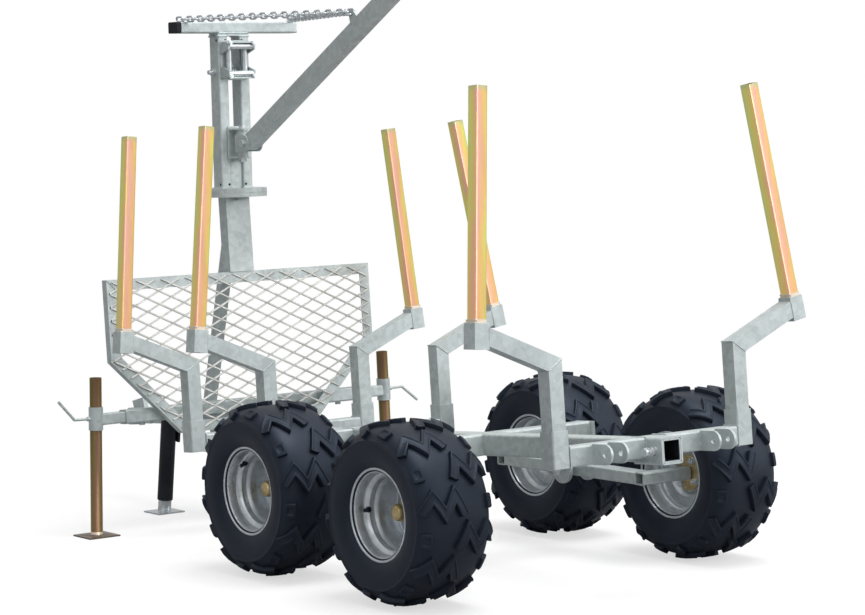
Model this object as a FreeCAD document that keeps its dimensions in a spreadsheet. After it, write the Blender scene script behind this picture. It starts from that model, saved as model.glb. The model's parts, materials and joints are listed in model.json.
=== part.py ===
"""Forestry trailer with a crane mast, for an ATV: a parametric FreeCAD document.

Millimetres, +X forward, +Y left, +Z up. The origin is on the ground, under the middle of the length.
The trailer is built as it parks: nose down on its outriggers and prop stand, so the frame turns about
the bogie pivot by nose_down_deg. Frame pieces are drawn level, and FRAME puts them in that attitude.
Wheels, walking beams, outrigger legs and the upper crane are drawn in the ground's own directions.
All pieces are drawn from the ground midway between the four wheels, and each is moved back by middle_x
as it becomes a node.
"""
import FreeCAD, Part
import math
import os

import Sketcher

# ---------------------------------------------------------------- driving dimensions
SIZES = {
    "parking": {
        "nose_down_deg": 3.7,
        "axle_height": 276,
        "middle_x": 666,
    },
    "main frame": {
        "beam_width": 70,
        "beam_wall": 5,
        "beam_corner": 8,
        "beam_height": 390,
        "beam_rear_x": -887,
        "beam_front_x": 1600,
        "drawbar_width": 60,
        "drawbar_depth": 50,
        "drawbar_wall": 4,
        "drawbar_corner": 6,
        "drawbar_rear_x": 1240,
        "drawbar_front_x": 2120,
    },
    "bogie": {
        "wheelbase": 700,
        "fork_y": 363,
        "fork_gap": 92,
        "hanger_plate": 12,
        "hanger_width": 90,
        "pivot_bolt_diameter": 20,
        "pivot_bush_diameter": 38,
        "running_clearance": 0.05,
        "side_clearance": 1,
        "walking_beam_width": 60,
        "walking_beam_depth": 40,
        "walking_beam_wall": 4,
        "walking_beam_corner": 5,
        "stub_axle_width": 40,
        "stub_axle_outer_y": 534,
        "spindle_diameter": 25,
        "spindle_root": 10,
        "spindle_outer_y": 606,
    },
    "wheels": {
        "wheel_y": 573,
        "tyre_radius": 276,
        "tyre_width": 264,
        "tyre_wall": 11,
        "bead_height": 16,
        "sidewall_height": 58,
        "sidewall_lean": 2,
        "sidewall_radius": 90,
        "shoulder_drop": 22,
        "shoulder_lean": 6,
        "shoulder_radius": 30,
        "crown_edge": 30,
        "crown_drop": 3,
        "tread_wall": 19,
        "rim_width": 218,
        "rim_flange_radius": 141,
        "bead_seat_radius": 127,
        "bead_seat_width": 34,
        "bead_seat_taper": 2,
        "rim_well_radius": 106,
        "rim_well_slope": 10,
        "rim_thickness": 3,
        "disc_y": 546,
        "disc_dish": 14,
        "disc_dish_slope": 12,
        "disc_land": 3,
        "hub_flange_radius": 58,
        "hub_barrel_radius": 27,
        "hub_inner_y": 538,
        "hub_cap_y": 623,
        "hub_cap_radius": 21,
        "hub_cap_length": 26,
        "hub_cap_chamfer": 6,
        "spindle_end_gap": 3,
    },
    "bunks": {
        "front_bunk_x": 1180,
        "middle_bunk_x": 700,
        "rear_bunk_x": -790,
        "slide_clearance": 0.3,
        "sleeve_wall": 5,
        "sleeve_corner": 9,
        "sleeve_overhang": 98,
        "crossbeam_width": 60,
        "crossbeam_wall": 4,
        "crossbeam_corner": 7,
        "post_y": 359,
        "post_width": 50,
        "post_wall": 3,
        "post_sleeve_wall": 5,
        "post_sleeve_corner": 6,
        "post_sleeve_height": 108,
        "elbow_height": 668,
        "arm_rise_deg": 22.7,
        "socket_y": 615,
        "socket_height": 767,
        "socket_length": 72,
        "socket_wall": 4.7,
        "stake_width": 42,
        "stake_wall": 3,
        "stake_corner": 7,
        "stake_length": 668,
        "front_left_lean_deg": 6.2,
        "front_right_lean_deg": 5.1,
        "middle_left_lean_deg": 7.3,
        "middle_right_lean_deg": 9.7,
        "rear_left_lean_deg": 4.9,
        "rear_right_lean_deg": 10.3,
        "stake_ring_height": 10,
        "stake_ring_width": 46,
        "stake_ring_corner": 8,
        "lug_plate": 8,
        "lug_depth": 60,
        "lug_hole_diameter": 18,
        "lug_inner_y": 180,
        "lug_outer_y": 240,
        "lug_reach": 52,
    },
    "headboard": {
        "headboard_x": 1370,
        "headboard_top": 983,
        "headboard_half_width": 558,
        "headboard_chamfer": 270,
        "angle_leg": 40,
        "angle_web": 30,
        "angle_thickness": 4,
        "mesh_thickness": 3,
        "mesh_inset": 10,
        "diamond_length": 100,
        "diamond_height": 47,
        "strand_width": 5,
    },
    "lower crane": {
        "mast_rear_x": 1365,
        "mast_depth": 50,
        "mast_width": 100,
        "mast_wall": 4,
        "strut_top": 1222,
        "strut_foot_x": 1672,
        "strut_depth": 30,
        "strut_width": 40,
        "strut_wall": 3,
        "slew_x": 1450,
        "slew_plate_radius": 120,
        "slew_plate_thickness": 15,
        "slew_base_height": 1162,
        "slew_gap": 0.5,
        "slew_pin_diameter": 30,
        "slew_pin_depth": 25,
        "slew_screw_x": 1402,
        "slew_screw_diameter": 16,
    },
    "upper crane": {
        "column_depth": 60,
        "column_width": 40,
        "column_wall": 3,
        "column_corner": 6,
        "column_gap": 50,
        "column_top": 1737,
        "top_plate_thickness": 10,
        "top_beam_length": 490,
        "top_beam_shift": 30,
        "top_beam_depth": 40,
        "end_cap_length": 18,
        "hinge_bolt_x": 1380,
        "hinge_lug_spacing": 95,
        "hinge_lug_plate": 6,
        "hinge_lug_radius": 24,
        "hinge_plate_margin": 14,
        "hinge_plate_overlap": 12,
        "hinge_bolt_diameter": 16,
        "knuckle_radius": 19,
        "cheek_radius": 30,
        "cheek_web": 12,
    },
    "rope guide": {
        "fairlead_height": 1650,
        "fairlead_plate": 4,
        "fairlead_ear": 6,
        "fairlead_corner": 14,
        "fairlead_margin": 8,
        "fairlead_overlap": 34,
        "fairlead_window": 44,
        "roller_radius": 11,
        "roller_length": 110,
        "roller_gap": 2,
        "roller_side_gap": 0.5,
        "pulley_height": 1608,
        "pulley_radius": 27,
        "pulley_groove": 7,
        "pulley_width": 24,
        "pulley_bolt_diameter": 16,
        "pulley_bolt_end": 26,
        "spacer_radius": 12,
    },
    "boom": {
        "boom_pin_x": 1326,
        "boom_pin_height": 1353,
        "boom_rise_deg": 28.9,
        "boom_width": 50,
        "boom_wall": 4,
        "boom_length": 1960,
        "boom_pin_diameter": 16,
        "cheek_plate": 6,
        "chain_lug_distance": 776,
        "chain_lug_height": 50,
        "chain_lug_plate": 10,
        "chain_lug_radius": 16,
        "chain_lug_foot": 26,
        "chain_lug_hole": 14,
        "sheave_radius": 42,
        "sheave_groove": 8,
        "sheave_width": 22,
        "sheave_pin_diameter": 16,
        "sheave_end_gap": 12,
        "tip_plate": 6,
        "tip_plate_radius": 30,
        "tip_plate_overlap": 90,
        "chain_width": 12,
        "chain_end_inset": 14,
        "shackle_radius": 14,
        "shackle_bar": 8,
        "shackle_slack": 1.2,
    },
    "outriggers": {
        "carrier_x": 1426,
        "carrier_width": 50,
        "carrier_wall": 4.7,
        "carrier_corner": 7,
        "carrier_half_length": 495,
        "carrier_screw_inset": 75,
        "carrier_screw_diameter": 12,
        "outrigger_arm_width": 40,
        "outrigger_arm_wall": 3,
        "outrigger_arm_corner": 5,
        "outrigger_arm_inner_y": 35,
        "right_arm_further_out": 28,
        "leg_x": 1437,
        "leg_y": 616,
        "leg_diameter": 42,
        "leg_wall": 3,
        "leg_length": 555,
        "leg_splay_deg": 1.7,
        "collar_wall": 4,
        "collar_length": 81,
        "collar_height": 412,
        "collar_weld": 1.5,
        "foot_width": 120,
        "foot_thickness": 5,
        "foot_weld": 1,
        "handle_nut": 9,
        "handle_diameter": 10,
        "handle_reach": 60,
        "handle_grip": 90,
        "left_grip_deg": 43,
        "right_grip_deg": 130,
    },
    "prop stand": {
        "prop_y": 160,
        "prop_pivot_x": 1688,
        "prop_pivot_height": 336,
        "prop_lean_deg": 8.9,
        "prop_tube_diameter": 57,
        "prop_tube_wall": 4,
        "prop_tube_length": 290,
        "prop_tube_above": 24,
        "prop_leg_diameter": 48,
        "prop_leg_wall": 3,
        "prop_leg_top": 30,
        "prop_arm_width": 40,
        "prop_arm_wall": 4,
        "prop_plate": 8,
        "prop_plate_radius": 34,
        "prop_plate_nose": 84,
        "prop_plate_shoulder": 60,
        "prop_plate_rise": 24,
        "prop_nose_drop": 5,
        "prop_chin_radius": 90,
        "prop_side_gap": 1,
        "prop_ear_radius": 26,
        "prop_ear_length": 70,
        "prop_ear_weld": 2,
        "prop_bolt_diameter": 16,
        "prop_foot_width": 110,
    },
    "coupling": {
        "ball_x": 2178,
        "ball_radius": 25,
        "ball_clearance": 0.3,
        "seat_depth": 24,
        "coupling_wall": 7,
        "coupling_skirt": 6,
        "coupling_rear_x": 2020,
        "coupling_end_gap": 0.5,
        "latch_width": 18,
        "latch_rear": 70,
        "latch_front": 10,
        "latch_rake": 10,
        "latch_low": 26,
        "latch_high": 40,
    },
}

doc = FreeCAD.newDocument("ForestryTrailer")
dim = doc.addObject("Spreadsheet::Sheet", "dim")


def fill_sheet():
    """One row for each driving dimension: its name, its value and the group it belongs to."""
    row = 0
    for group, sizes in SIZES.items():
        for name, size in sizes.items():
            row += 1
            dim.set(f"A{row}", name)
            dim.set(f"B{row}", str(size))
            dim.set(f"C{row}", group)
            dim.setAlias(f"B{row}", name)
    doc.recompute()


fill_sheet()


def value(expression):
    """The number that an expression of the sheet gives now."""
    return float(dim.evalExpression(str(expression)))


# ---------------------------------------------------------------- places worked out from the sheet
BEAM_TOP = "(dim.beam_height + dim.beam_width / 2)"
BEAM_SIDE = "(dim.beam_width / 2)"
SLEEVE_HALF = "(dim.beam_width / 2 + dim.slide_clearance + dim.sleeve_wall)"
SLEEVE_TOP = f"(dim.beam_height + {SLEEVE_HALF})"
DRAWBAR_TOP = f"({BEAM_TOP} + dim.drawbar_depth)"
CROSSBEAM_HEIGHT = f"({SLEEVE_TOP} - dim.crossbeam_width / 2)"
POST_HALF = "(dim.post_width / 2)"
POST_SLEEVE_HALF = f"({POST_HALF} + dim.slide_clearance + dim.post_sleeve_wall)"
POST_FOOT = f"({SLEEVE_TOP} - dim.crossbeam_width)"
SOCKET_HALF = "(dim.stake_width / 2 + dim.slide_clearance + dim.socket_wall)"
FORK_INNER = "(dim.fork_y - dim.fork_gap / 2)"
FORK_OUTER = "(dim.fork_y + dim.fork_gap / 2)"
COLUMN_REAR_X = "(dim.slew_x - dim.column_depth / 2)"
COLUMN_FRONT_X = "(dim.slew_x + dim.column_depth / 2)"
COLUMN_FOOT = "(dim.slew_base_height + 2 * dim.slew_plate_thickness + dim.slew_gap)"
COLUMN_Y = "(dim.column_gap / 2 + dim.column_width / 2)"
COLUMN_SIDE = "(dim.column_gap / 2 + dim.column_width)"
TOP_BEAM_FOOT = "(dim.column_top + dim.top_plate_thickness)"
BOOM_HALF = "(dim.boom_width / 2)"
CHAIN_LUG_HOLE = "(-dim.boom_width / 2 - dim.chain_lug_height + dim.chain_lug_radius)"
SHACKLE_PLAY = "(dim.chain_lug_hole / 2 - dim.shackle_bar / 2 - dim.shackle_slack)"
CARRIER_HEIGHT = f"({DRAWBAR_TOP} + dim.carrier_width / 2)"
COLLAR_RADIUS = "(dim.leg_diameter / 2 + dim.running_clearance + dim.collar_wall)"
FRAME = (
    "placement(vector(-dim.axle_height * sin(dim.nose_down_deg); 0;"
    " dim.axle_height * (1 - cos(dim.nose_down_deg)));"
    " rotation(vector(0; 1; 0); dim.nose_down_deg))"
)
BOOM_PLACE = (
    "placement(vector(dim.boom_pin_x; 0; dim.boom_pin_height);"
    " rotation(vector(0; 1; 0); 180 + dim.boom_rise_deg))"
)
PROP_PLACE = (
    "placement(vector(dim.prop_pivot_x; dim.prop_y; dim.prop_pivot_height);"
    " rotation(vector(0; 1; 0); -dim.prop_lean_deg))"
)


def moved(x, y, z):
    """A shift without a turn, to follow another placement."""
    return f"placement(vector({x}; {y}; {z}); rotation(vector(0; 0; 1); 0))"


def turned_about_z(turn):
    return f"placement(vector(0; 0; 0); rotation(vector(0; 0; 1); {turn}))"


def on_side(sign, number):
    """A distance to the left, or the same one to the right."""
    return f"({number})" if sign > 0 else f"-({number})"


def span(sign, inner, outer):
    """The stretch from inner to outer on the left, or its mirror image on the right."""
    return (inner, outer) if sign > 0 else (f"-({outer})", f"-({inner})")


def across_flats(size):
    """A bolt's head or nut is one and a half diameters wide."""
    return f"(1.5 * {size})"


def head_height(size):
    """A bolt's head is two thirds of a diameter high."""
    return f"(0.65 * {size})"


def nut_height(size):
    return f"(0.8 * {size})"


# ---------------------------------------------------------------- outlines
def circle(x, y, radius):
    return ("circle", x, y, radius)


def rectangle(x_low, x_high, y_low, y_high):
    return [(x_low, y_low), (x_high, y_low), (x_high, y_high), (x_low, y_high)]


def centred(x, y, width, height):
    """A rectangle about a centre."""
    return rectangle(
        f"{x} - {width} / 2", f"{x} + {width} / 2", f"{y} - {height} / 2", f"{y} + {height} / 2"
    )


def rounded(x, y, width, height, radius):
    """A rectangle about a centre, with its four corners rounded."""
    left, right = f"{x} - {width} / 2", f"{x} + {width} / 2"
    low, high = f"{y} - {height} / 2", f"{y} + {height} / 2"
    return [
        (f"{left} + {radius}", low),
        (f"{right} - {radius}", low, radius),
        (right, f"{low} + {radius}"),
        (right, f"{high} - {radius}", radius),
        (f"{right} - {radius}", high),
        (f"{left} + {radius}", high, radius),
        (left, f"{high} - {radius}"),
        (left, f"{low} + {radius}", radius),
    ]


def hexagon(x, y, across_flats):
    """A nut's outline, with two corners on the horizontal."""
    corner = f"{across_flats} / sqrt(3)"
    side = f"{across_flats} / 2"
    return [
        (f"{x} + {corner}", y),
        (f"{x} + {corner} / 2", f"{y} + {side}"),
        (f"{x} - {corner} / 2", f"{y} + {side}"),
        (f"{x} - {corner}", y),
        (f"{x} - {corner} / 2", f"{y} - {side}"),
        (f"{x} + {corner} / 2", f"{y} - {side}"),
    ]


def bind(sketch, kind, geometry, point, number, expression):
    """A dimension of the sketch that follows an expression of the sheet."""
    if kind == "Radius":
        index = sketch.addConstraint(Sketcher.Constraint(kind, geometry, number))
    else:
        index = sketch.addConstraint(Sketcher.Constraint(kind, -1, 1, geometry, point, number))
    sketch.setExpression(f"Constraints[{index}]", str(expression))


def draw_circle(sketch, x, y, radius):
    centre = FreeCAD.Vector(value(x), value(y), 0)
    geometry = sketch.addGeometry(Part.Circle(centre, FreeCAD.Vector(0, 0, 1), value(radius)), False)
    bind(sketch, "DistanceX", geometry, 3, centre.x, x)
    bind(sketch, "DistanceY", geometry, 3, centre.y, y)
    bind(sketch, "Radius", geometry, 0, value(radius), radius)


def arc_between(start, end, radius):
    """The short arc that bulges to the right of the way from start to end."""
    chord = end - start
    middle = (start + end) * 0.5
    left = FreeCAD.Vector(-chord.y, chord.x, 0)
    left.normalize()
    centre = middle + left * math.sqrt(max(radius**2 - (chord.Length / 2) ** 2, 0))
    first = math.atan2(start.y - centre.y, start.x - centre.x)
    last = math.atan2(end.y - centre.y, end.x - centre.x)
    full = Part.Circle(centre, FreeCAD.Vector(0, 0, 1), radius)
    return Part.ArcOfCircle(full, first, last)


def draw_outline(sketch, corners):
    """A closed outline. A corner with a third value starts an arc of that radius, and outlines
    run anticlockwise, so that an arc bulges outward; a minus sign in front makes it hollow."""
    places = [FreeCAD.Vector(value(corner[0]), value(corner[1]), 0) for corner in corners]
    edges = []
    for number, corner in enumerate(corners):
        start = places[number]
        end = places[(number + 1) % len(corners)]
        if len(corner) == 2:
            edges.append((sketch.addGeometry(Part.LineSegment(start, end), False), 1, 2))
        elif str(corner[2]).startswith("-"):
            arc = arc_between(end, start, value(corner[2][1:]))
            edges.append((sketch.addGeometry(arc, False), 2, 1))
        else:
            arc = arc_between(start, end, value(corner[2]))
            edges.append((sketch.addGeometry(arc, False), 1, 2))
    for number, (geometry, first, last) in enumerate(edges):
        following, following_first, _ = edges[(number + 1) % len(edges)]
        sketch.addConstraint(
            Sketcher.Constraint("Coincident", geometry, last, following, following_first)
        )
    for number, (geometry, first, last) in enumerate(edges):
        corner = corners[number]
        bind(sketch, "DistanceX", geometry, first, places[number].x, corner[0])
        bind(sketch, "DistanceY", geometry, first, places[number].y, corner[1])
        if len(corner) == 3:
            radius = str(corner[2]).lstrip("-")
            bind(sketch, "Radius", geometry, 0, value(radius), radius)


# ---------------------------------------------------------------- features
def new_body(label, place=None):
    body = doc.addObject("PartDesign::Body", label)
    body.Label = label
    if place:
        body.setExpression("Placement", place)
    return body


def origin_plane(body, role):
    return [feature for feature in body.Origin.OriginFeatures if feature.Role == role][0]


def sketch_on(body, plane, offset, outlines):
    """A sketch on one of the body's origin planes, moved along the plane's normal."""
    sketch = body.newObject("Sketcher::SketchObject", f"{body.Name}_sketch")
    sketch.AttachmentSupport = [(origin_plane(body, f"{plane}_Plane"), "")]
    sketch.MapMode = "FlatFace"
    sketch.setExpression("AttachmentOffset.Base.z", str(offset))
    for outline in outlines:
        if outline[0] == "circle":
            draw_circle(sketch, *outline[1:])
        else:
            draw_outline(sketch, outline)
    return sketch


def extruded(kind, body, plane, low, high, outlines):
    """A Pad or Pocket between two heights along X, Y or Z. The XZ plane's normal is -Y."""
    offset = f"-({high})" if plane == "XZ" else low
    sketch = sketch_on(body, plane, offset, outlines)
    feature = body.newObject(f"PartDesign::{kind}", f"{body.Name}_{kind.lower()}")
    feature.Profile = sketch
    feature.setExpression("Length", f"({high}) - ({low})")
    sketch.Visibility = False
    return feature


def pad(body, plane, low, high, *outlines):
    return extruded("Pad", body, plane, low, high, outlines)


def cut(body, plane, low, high, *outlines):
    pocket = extruded("Pocket", body, plane, low, high, outlines)
    pocket.Reversed = True
    return pocket


def turned(body, plane, *outlines):
    """A revolved piece: the outline turns about the sketch's horizontal axis."""
    sketch = sketch_on(body, plane, "0", outlines)
    feature = body.newObject("PartDesign::Revolution", f"{body.Name}_revolution")
    feature.Profile = sketch
    feature.ReferenceAxis = (sketch, ["H_Axis"])
    feature.Angle = 360
    return feature


def mirrored(body, *features):
    """The same features on the other side of the trailer's centre plane."""
    mirror = body.newObject("PartDesign::Mirrored", f"{body.Name}_mirror")
    mirror.Originals = list(features)
    mirror.MirrorPlane = (origin_plane(body, "XZ_Plane"), [""])
    body.Tip = mirror
    return mirror


def tube_profile(x, y, width, height, wall, corner):
    """The two outlines of a rectangular tube with rounded outer corners."""
    inner = (f"({width} - 2 * {wall})", f"({height} - 2 * {wall})")
    return rounded(x, y, width, height, corner), centred(x, y, *inner)


nodes = {}


def keep(label, piece):
    """The piece becomes a node of the assembly, under its own name, measured from the origin."""
    back = moved("-dim.middle_x", "0", "0")
    place = dict(piece.ExpressionEngine).get("Placement")
    piece.setExpression("Placement", f"{back} * {place}" if place else back)
    piece.Label = label
    nodes[label] = piece
    return piece


def paired(label, first, second):
    """Two like pieces that move together share a node."""
    pair = doc.addObject("Part::Compound", f"{label}_pair")
    pair.Links = [first, second]
    return keep(label, pair)


# ---------------------------------------------------------------- main frame
def main_beam():
    body = new_body("main_beam", FRAME)
    pad(body, "YZ", "dim.beam_rear_x", "dim.beam_front_x",
        *tube_profile("0", "dim.beam_height", "dim.beam_width", "dim.beam_width", "dim.beam_wall",
                      "dim.beam_corner"))
    keep("main_beam", body)


def drawbar():
    body = new_body("drawbar", FRAME)
    height = f"({BEAM_TOP} + dim.drawbar_depth / 2)"
    pad(body, "YZ", "dim.drawbar_rear_x", "dim.drawbar_front_x",
        *tube_profile("0", height, "dim.drawbar_width", "dim.drawbar_depth", "dim.drawbar_wall",
                      "dim.drawbar_corner"))
    keep("drawbar", body)


def bogie_cross_tube():
    body = new_body("bogie_cross_tube", FRAME)
    half = pad(body, "XZ", BEAM_SIDE, FORK_OUTER,
               *tube_profile("0", "dim.beam_height", "dim.beam_width", "dim.beam_width",
                             "dim.beam_wall", "dim.beam_corner"))
    mirrored(body, half)
    keep("bogie_cross_tube", body)


def hanger_outline(top):
    """A hanger plate: straight sides, and a round foot about the pivot."""
    half = "dim.hanger_width / 2"
    return [
        (f"-{half}", "dim.axle_height", half),
        ("0", f"dim.axle_height - {half}", half),
        (half, "dim.axle_height"),
        (half, top),
        (f"-{half}", top),
    ]


def hanger_plates():
    """Each side has an inner plate under the cross tube and an outer one that closes its end."""
    body = new_body("hanger_plates", FRAME)
    bolt = circle("0", "dim.axle_height", "dim.pivot_bolt_diameter / 2")
    inner = pad(body, "XZ", f"{FORK_INNER} - dim.hanger_plate", FORK_INNER,
                hanger_outline(f"dim.beam_height - {BEAM_SIDE}"), bolt)
    outer = pad(body, "XZ", FORK_OUTER, f"{FORK_OUTER} + dim.hanger_plate",
                hanger_outline(BEAM_TOP), bolt)
    mirrored(body, inner, outer)
    keep("hanger_plates", body)


def pivot_bolts():
    body = new_body("pivot_bolts", FRAME)
    size = "dim.pivot_bolt_diameter"
    inner, outer = f"{FORK_INNER} - dim.hanger_plate", f"{FORK_OUTER} + dim.hanger_plate"
    head = hexagon("0", "dim.axle_height", across_flats(size))
    shank = pad(body, "XZ", inner, outer, circle("0", "dim.axle_height", f"{size} / 2"))
    nut = pad(body, "XZ", f"{inner} - {nut_height(size)}", inner, head)
    cap = pad(body, "XZ", outer, f"{outer} + {head_height(size)}", head)
    mirrored(body, shank, nut, cap)
    keep("pivot_bolts", body)


# ---------------------------------------------------------------- bogie
def walking_beam(side, turn):
    """A rocking beam with a stub axle across each end; the right one is the left one turned round."""
    body = new_body(f"walking_beam_{side}", turned_about_z(turn))
    half_base = "dim.wheelbase / 2"
    beam_end = f"({half_base} - dim.stub_axle_width / 2)"
    bush = "(dim.pivot_bolt_diameter / 2 + dim.running_clearance)"
    stub_inner = "(dim.fork_y - dim.walking_beam_width / 2)"
    root = "dim.stub_axle_outer_y - dim.spindle_root"
    plug = "(dim.stub_axle_width - dim.walking_beam_wall / 2)"
    pad(body, "YZ", f"-{beam_end}", beam_end,
        *tube_profile("dim.fork_y", "dim.axle_height", "dim.walking_beam_width",
                      "dim.walking_beam_depth", "dim.walking_beam_wall", "dim.walking_beam_corner"))
    for centre in (f"-{half_base}", half_base):
        pad(body, "XZ", stub_inner, "dim.stub_axle_outer_y",
            *tube_profile(centre, "dim.axle_height", "dim.stub_axle_width", "dim.stub_axle_width",
                          "dim.walking_beam_wall", "dim.walking_beam_corner"))
        pad(body, "XZ", root, "dim.spindle_outer_y",
            circle(centre, "dim.axle_height", "dim.spindle_diameter / 2"))
        pad(body, "XZ", root, "dim.stub_axle_outer_y", centred(centre, "dim.axle_height", plug, plug))
    pad(body, "XZ", f"{FORK_INNER} + dim.side_clearance", f"{FORK_OUTER} - dim.side_clearance",
        circle("0", "dim.axle_height", "dim.pivot_bush_diameter / 2"))
    cut(body, "XZ", FORK_INNER, FORK_OUTER, circle("0", "dim.axle_height", bush))
    keep(f"walking_beam_{side}", body)


# ---------------------------------------------------------------- wheels
def wheel_place(sign, turn):
    """The wheel's own axis runs outward from the origin; this puts it on its stub axle."""
    return (
        f"placement(vector({sign}dim.wheelbase / 2; 0; dim.axle_height);"
        f" rotation(vector(0; 0; 1); {turn}))"
    )


def tyre(name, place):
    """A tubeless tyre: crown, shoulders and bulged sidewalls, down to beads behind the rim flanges."""
    body = new_body(f"tyre_{name}", place)
    half = "dim.tyre_width / 2"
    bead = "(dim.rim_width / 2 - dim.rim_thickness)"
    seat = "dim.bead_seat_radius"
    wall = "dim.tyre_wall"
    bead_width = f"(1.6 * {wall})"
    bead_top = f"{seat} + 2 * {wall}"
    shoulder = "(dim.tyre_radius - dim.shoulder_drop)"
    inner_shoulder = f"{shoulder} - 1.3 * {wall}"
    inner_bulge = "(0.62 * dim.tyre_width / 2)"
    flat = "dim.tyre_radius - dim.tread_wall"
    crown_half = f"({half} - dim.crown_edge)"
    crown = f"(({crown_half} * {crown_half} + dim.crown_drop * dim.crown_drop) / (2 * dim.crown_drop))"
    edge = "dim.tyre_radius - dim.crown_drop"
    bulge = f"{seat} + dim.sidewall_height"
    knee = "4 * dim.shoulder_radius"
    profile = [
        (f"dim.wheel_y - {bead}", seat),
        (f"dim.wheel_y - {bead} + {bead_width}", seat),
        (f"dim.wheel_y - {bead} + {wall}", bead_top, f"-{inner_bulge}"),
        (f"dim.wheel_y - {half} + {bead_width}", inner_shoulder),
        (f"dim.wheel_y - {half} + 4 * {wall}", flat),
        (f"dim.wheel_y + {half} - 4 * {wall}", flat),
        (f"dim.wheel_y + {half} - {bead_width}", inner_shoulder, f"-{inner_bulge}"),
        (f"dim.wheel_y + {bead} - {wall}", bead_top),
        (f"dim.wheel_y + {bead} - {bead_width}", seat),
        (f"dim.wheel_y + {bead}", seat),
        (f"dim.wheel_y + {bead}", f"{seat} + dim.bead_height", "dim.sidewall_radius"),
        (f"dim.wheel_y + {half} - dim.sidewall_lean", bulge, f"2 * {knee}"),
        (f"dim.wheel_y + {half} - dim.shoulder_lean", shoulder, "dim.shoulder_radius"),
        (f"dim.wheel_y + {half} - dim.crown_edge", edge, crown),
        ("dim.wheel_y", "dim.tyre_radius", crown),
        (f"dim.wheel_y - {half} + dim.crown_edge", edge, "dim.shoulder_radius"),
        (f"dim.wheel_y - {half} + dim.shoulder_lean", shoulder, f"2 * {knee}"),
        (f"dim.wheel_y - {half} + dim.sidewall_lean", bulge, "dim.sidewall_radius"),
        (f"dim.wheel_y - {bead}", f"{seat} + dim.bead_height"),
    ]
    turned(body, "YZ", profile)
    keep(f"tyre_{name}", body)


def rim_profile():
    """The rolled rim: flange, bead seat, drop well and back out, one sheet thick."""
    sheet = "dim.rim_thickness"
    half = "dim.rim_width / 2"
    seat_end = "dim.bead_seat_width"
    well_start = "dim.bead_seat_width + dim.rim_well_slope"
    seat_radius = "dim.bead_seat_radius - dim.bead_seat_taper"
    outside = [
        ("0", "dim.rim_flange_radius"),
        (sheet, "dim.rim_flange_radius"),
        (sheet, "dim.bead_seat_radius"),
        (seat_end, seat_radius),
        (well_start, "dim.rim_well_radius"),
    ]
    inside = [
        ("0", f"dim.bead_seat_radius - {sheet}"),
        (f"({seat_end} - {sheet} / 2)", f"{seat_radius} - {sheet}"),
        (f"({well_start} - {sheet} / 2)", f"dim.rim_well_radius - {sheet}"),
    ]
    profile = [(f"dim.wheel_y - {half} + {along}", radius) for along, radius in inside]
    profile += [(f"dim.wheel_y + {half} - {along}", radius) for along, radius in reversed(inside)]
    profile += [(f"dim.wheel_y + {half} - ({along})", radius) for along, radius in outside]
    profile += [(f"dim.wheel_y - {half} + {along}", radius) for along, radius in reversed(outside)]
    return profile


def rim(name, place):
    """The rim with its wheel disc, which is dished outward at the hub."""
    body = new_body(f"rim_{name}", place)
    sheet = "dim.rim_thickness"
    turned(body, "YZ", rim_profile())
    edge = f"dim.rim_well_radius - {sheet}"
    bore = "dim.hub_barrel_radius + dim.side_clearance"
    web = "dim.disc_y - dim.disc_dish"
    land = "dim.hub_flange_radius + dim.disc_land"
    turned(body, "YZ", [
        ("dim.disc_y", bore),
        ("dim.disc_y", land),
        (web, f"{land} + dim.disc_dish_slope"),
        (web, edge),
        (f"{web} + {sheet}", edge),
        (f"{web} + {sheet}", f"{land} + {sheet} / 2 + dim.disc_dish_slope"),
        (f"dim.disc_y + {sheet}", f"{land} + {sheet} / 2"),
        (f"dim.disc_y + {sheet}", bore),
    ])
    keep(f"rim_{name}", body)


def hub(name, place):
    """The hub: a flange behind the disc, a barrel on the spindle and a cap over its end."""
    body = new_body(f"hub_{name}", place)
    bore = "dim.spindle_diameter / 2 + dim.running_clearance"
    bore_end = "dim.spindle_outer_y + dim.spindle_end_gap"
    turned(body, "YZ", [
        ("dim.hub_inner_y", bore),
        (bore_end, bore),
        (bore_end, "0"),
        ("dim.hub_cap_y", "0"),
        ("dim.hub_cap_y", "dim.hub_cap_radius - dim.hub_cap_chamfer"),
        ("dim.hub_cap_y - dim.hub_cap_chamfer", "dim.hub_cap_radius"),
        ("dim.hub_cap_y - dim.hub_cap_length", "dim.hub_cap_radius"),
        ("dim.hub_cap_y - dim.hub_cap_length", "dim.hub_barrel_radius"),
        ("dim.disc_y", "dim.hub_barrel_radius"),
        ("dim.disc_y", "dim.hub_flange_radius"),
        ("dim.hub_inner_y", "dim.hub_flange_radius"),
    ])
    keep(f"hub_{name}", body)


def wheels():
    for side, turn in (("left", "0"), ("right", "180")):
        for end, sign in (("front", ""), ("rear", "-")):
            place = wheel_place(sign, turn)
            name = f"{end}_{side}"
            tyre(name, place)
            rim(name, place)
            hub(name, place)


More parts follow.
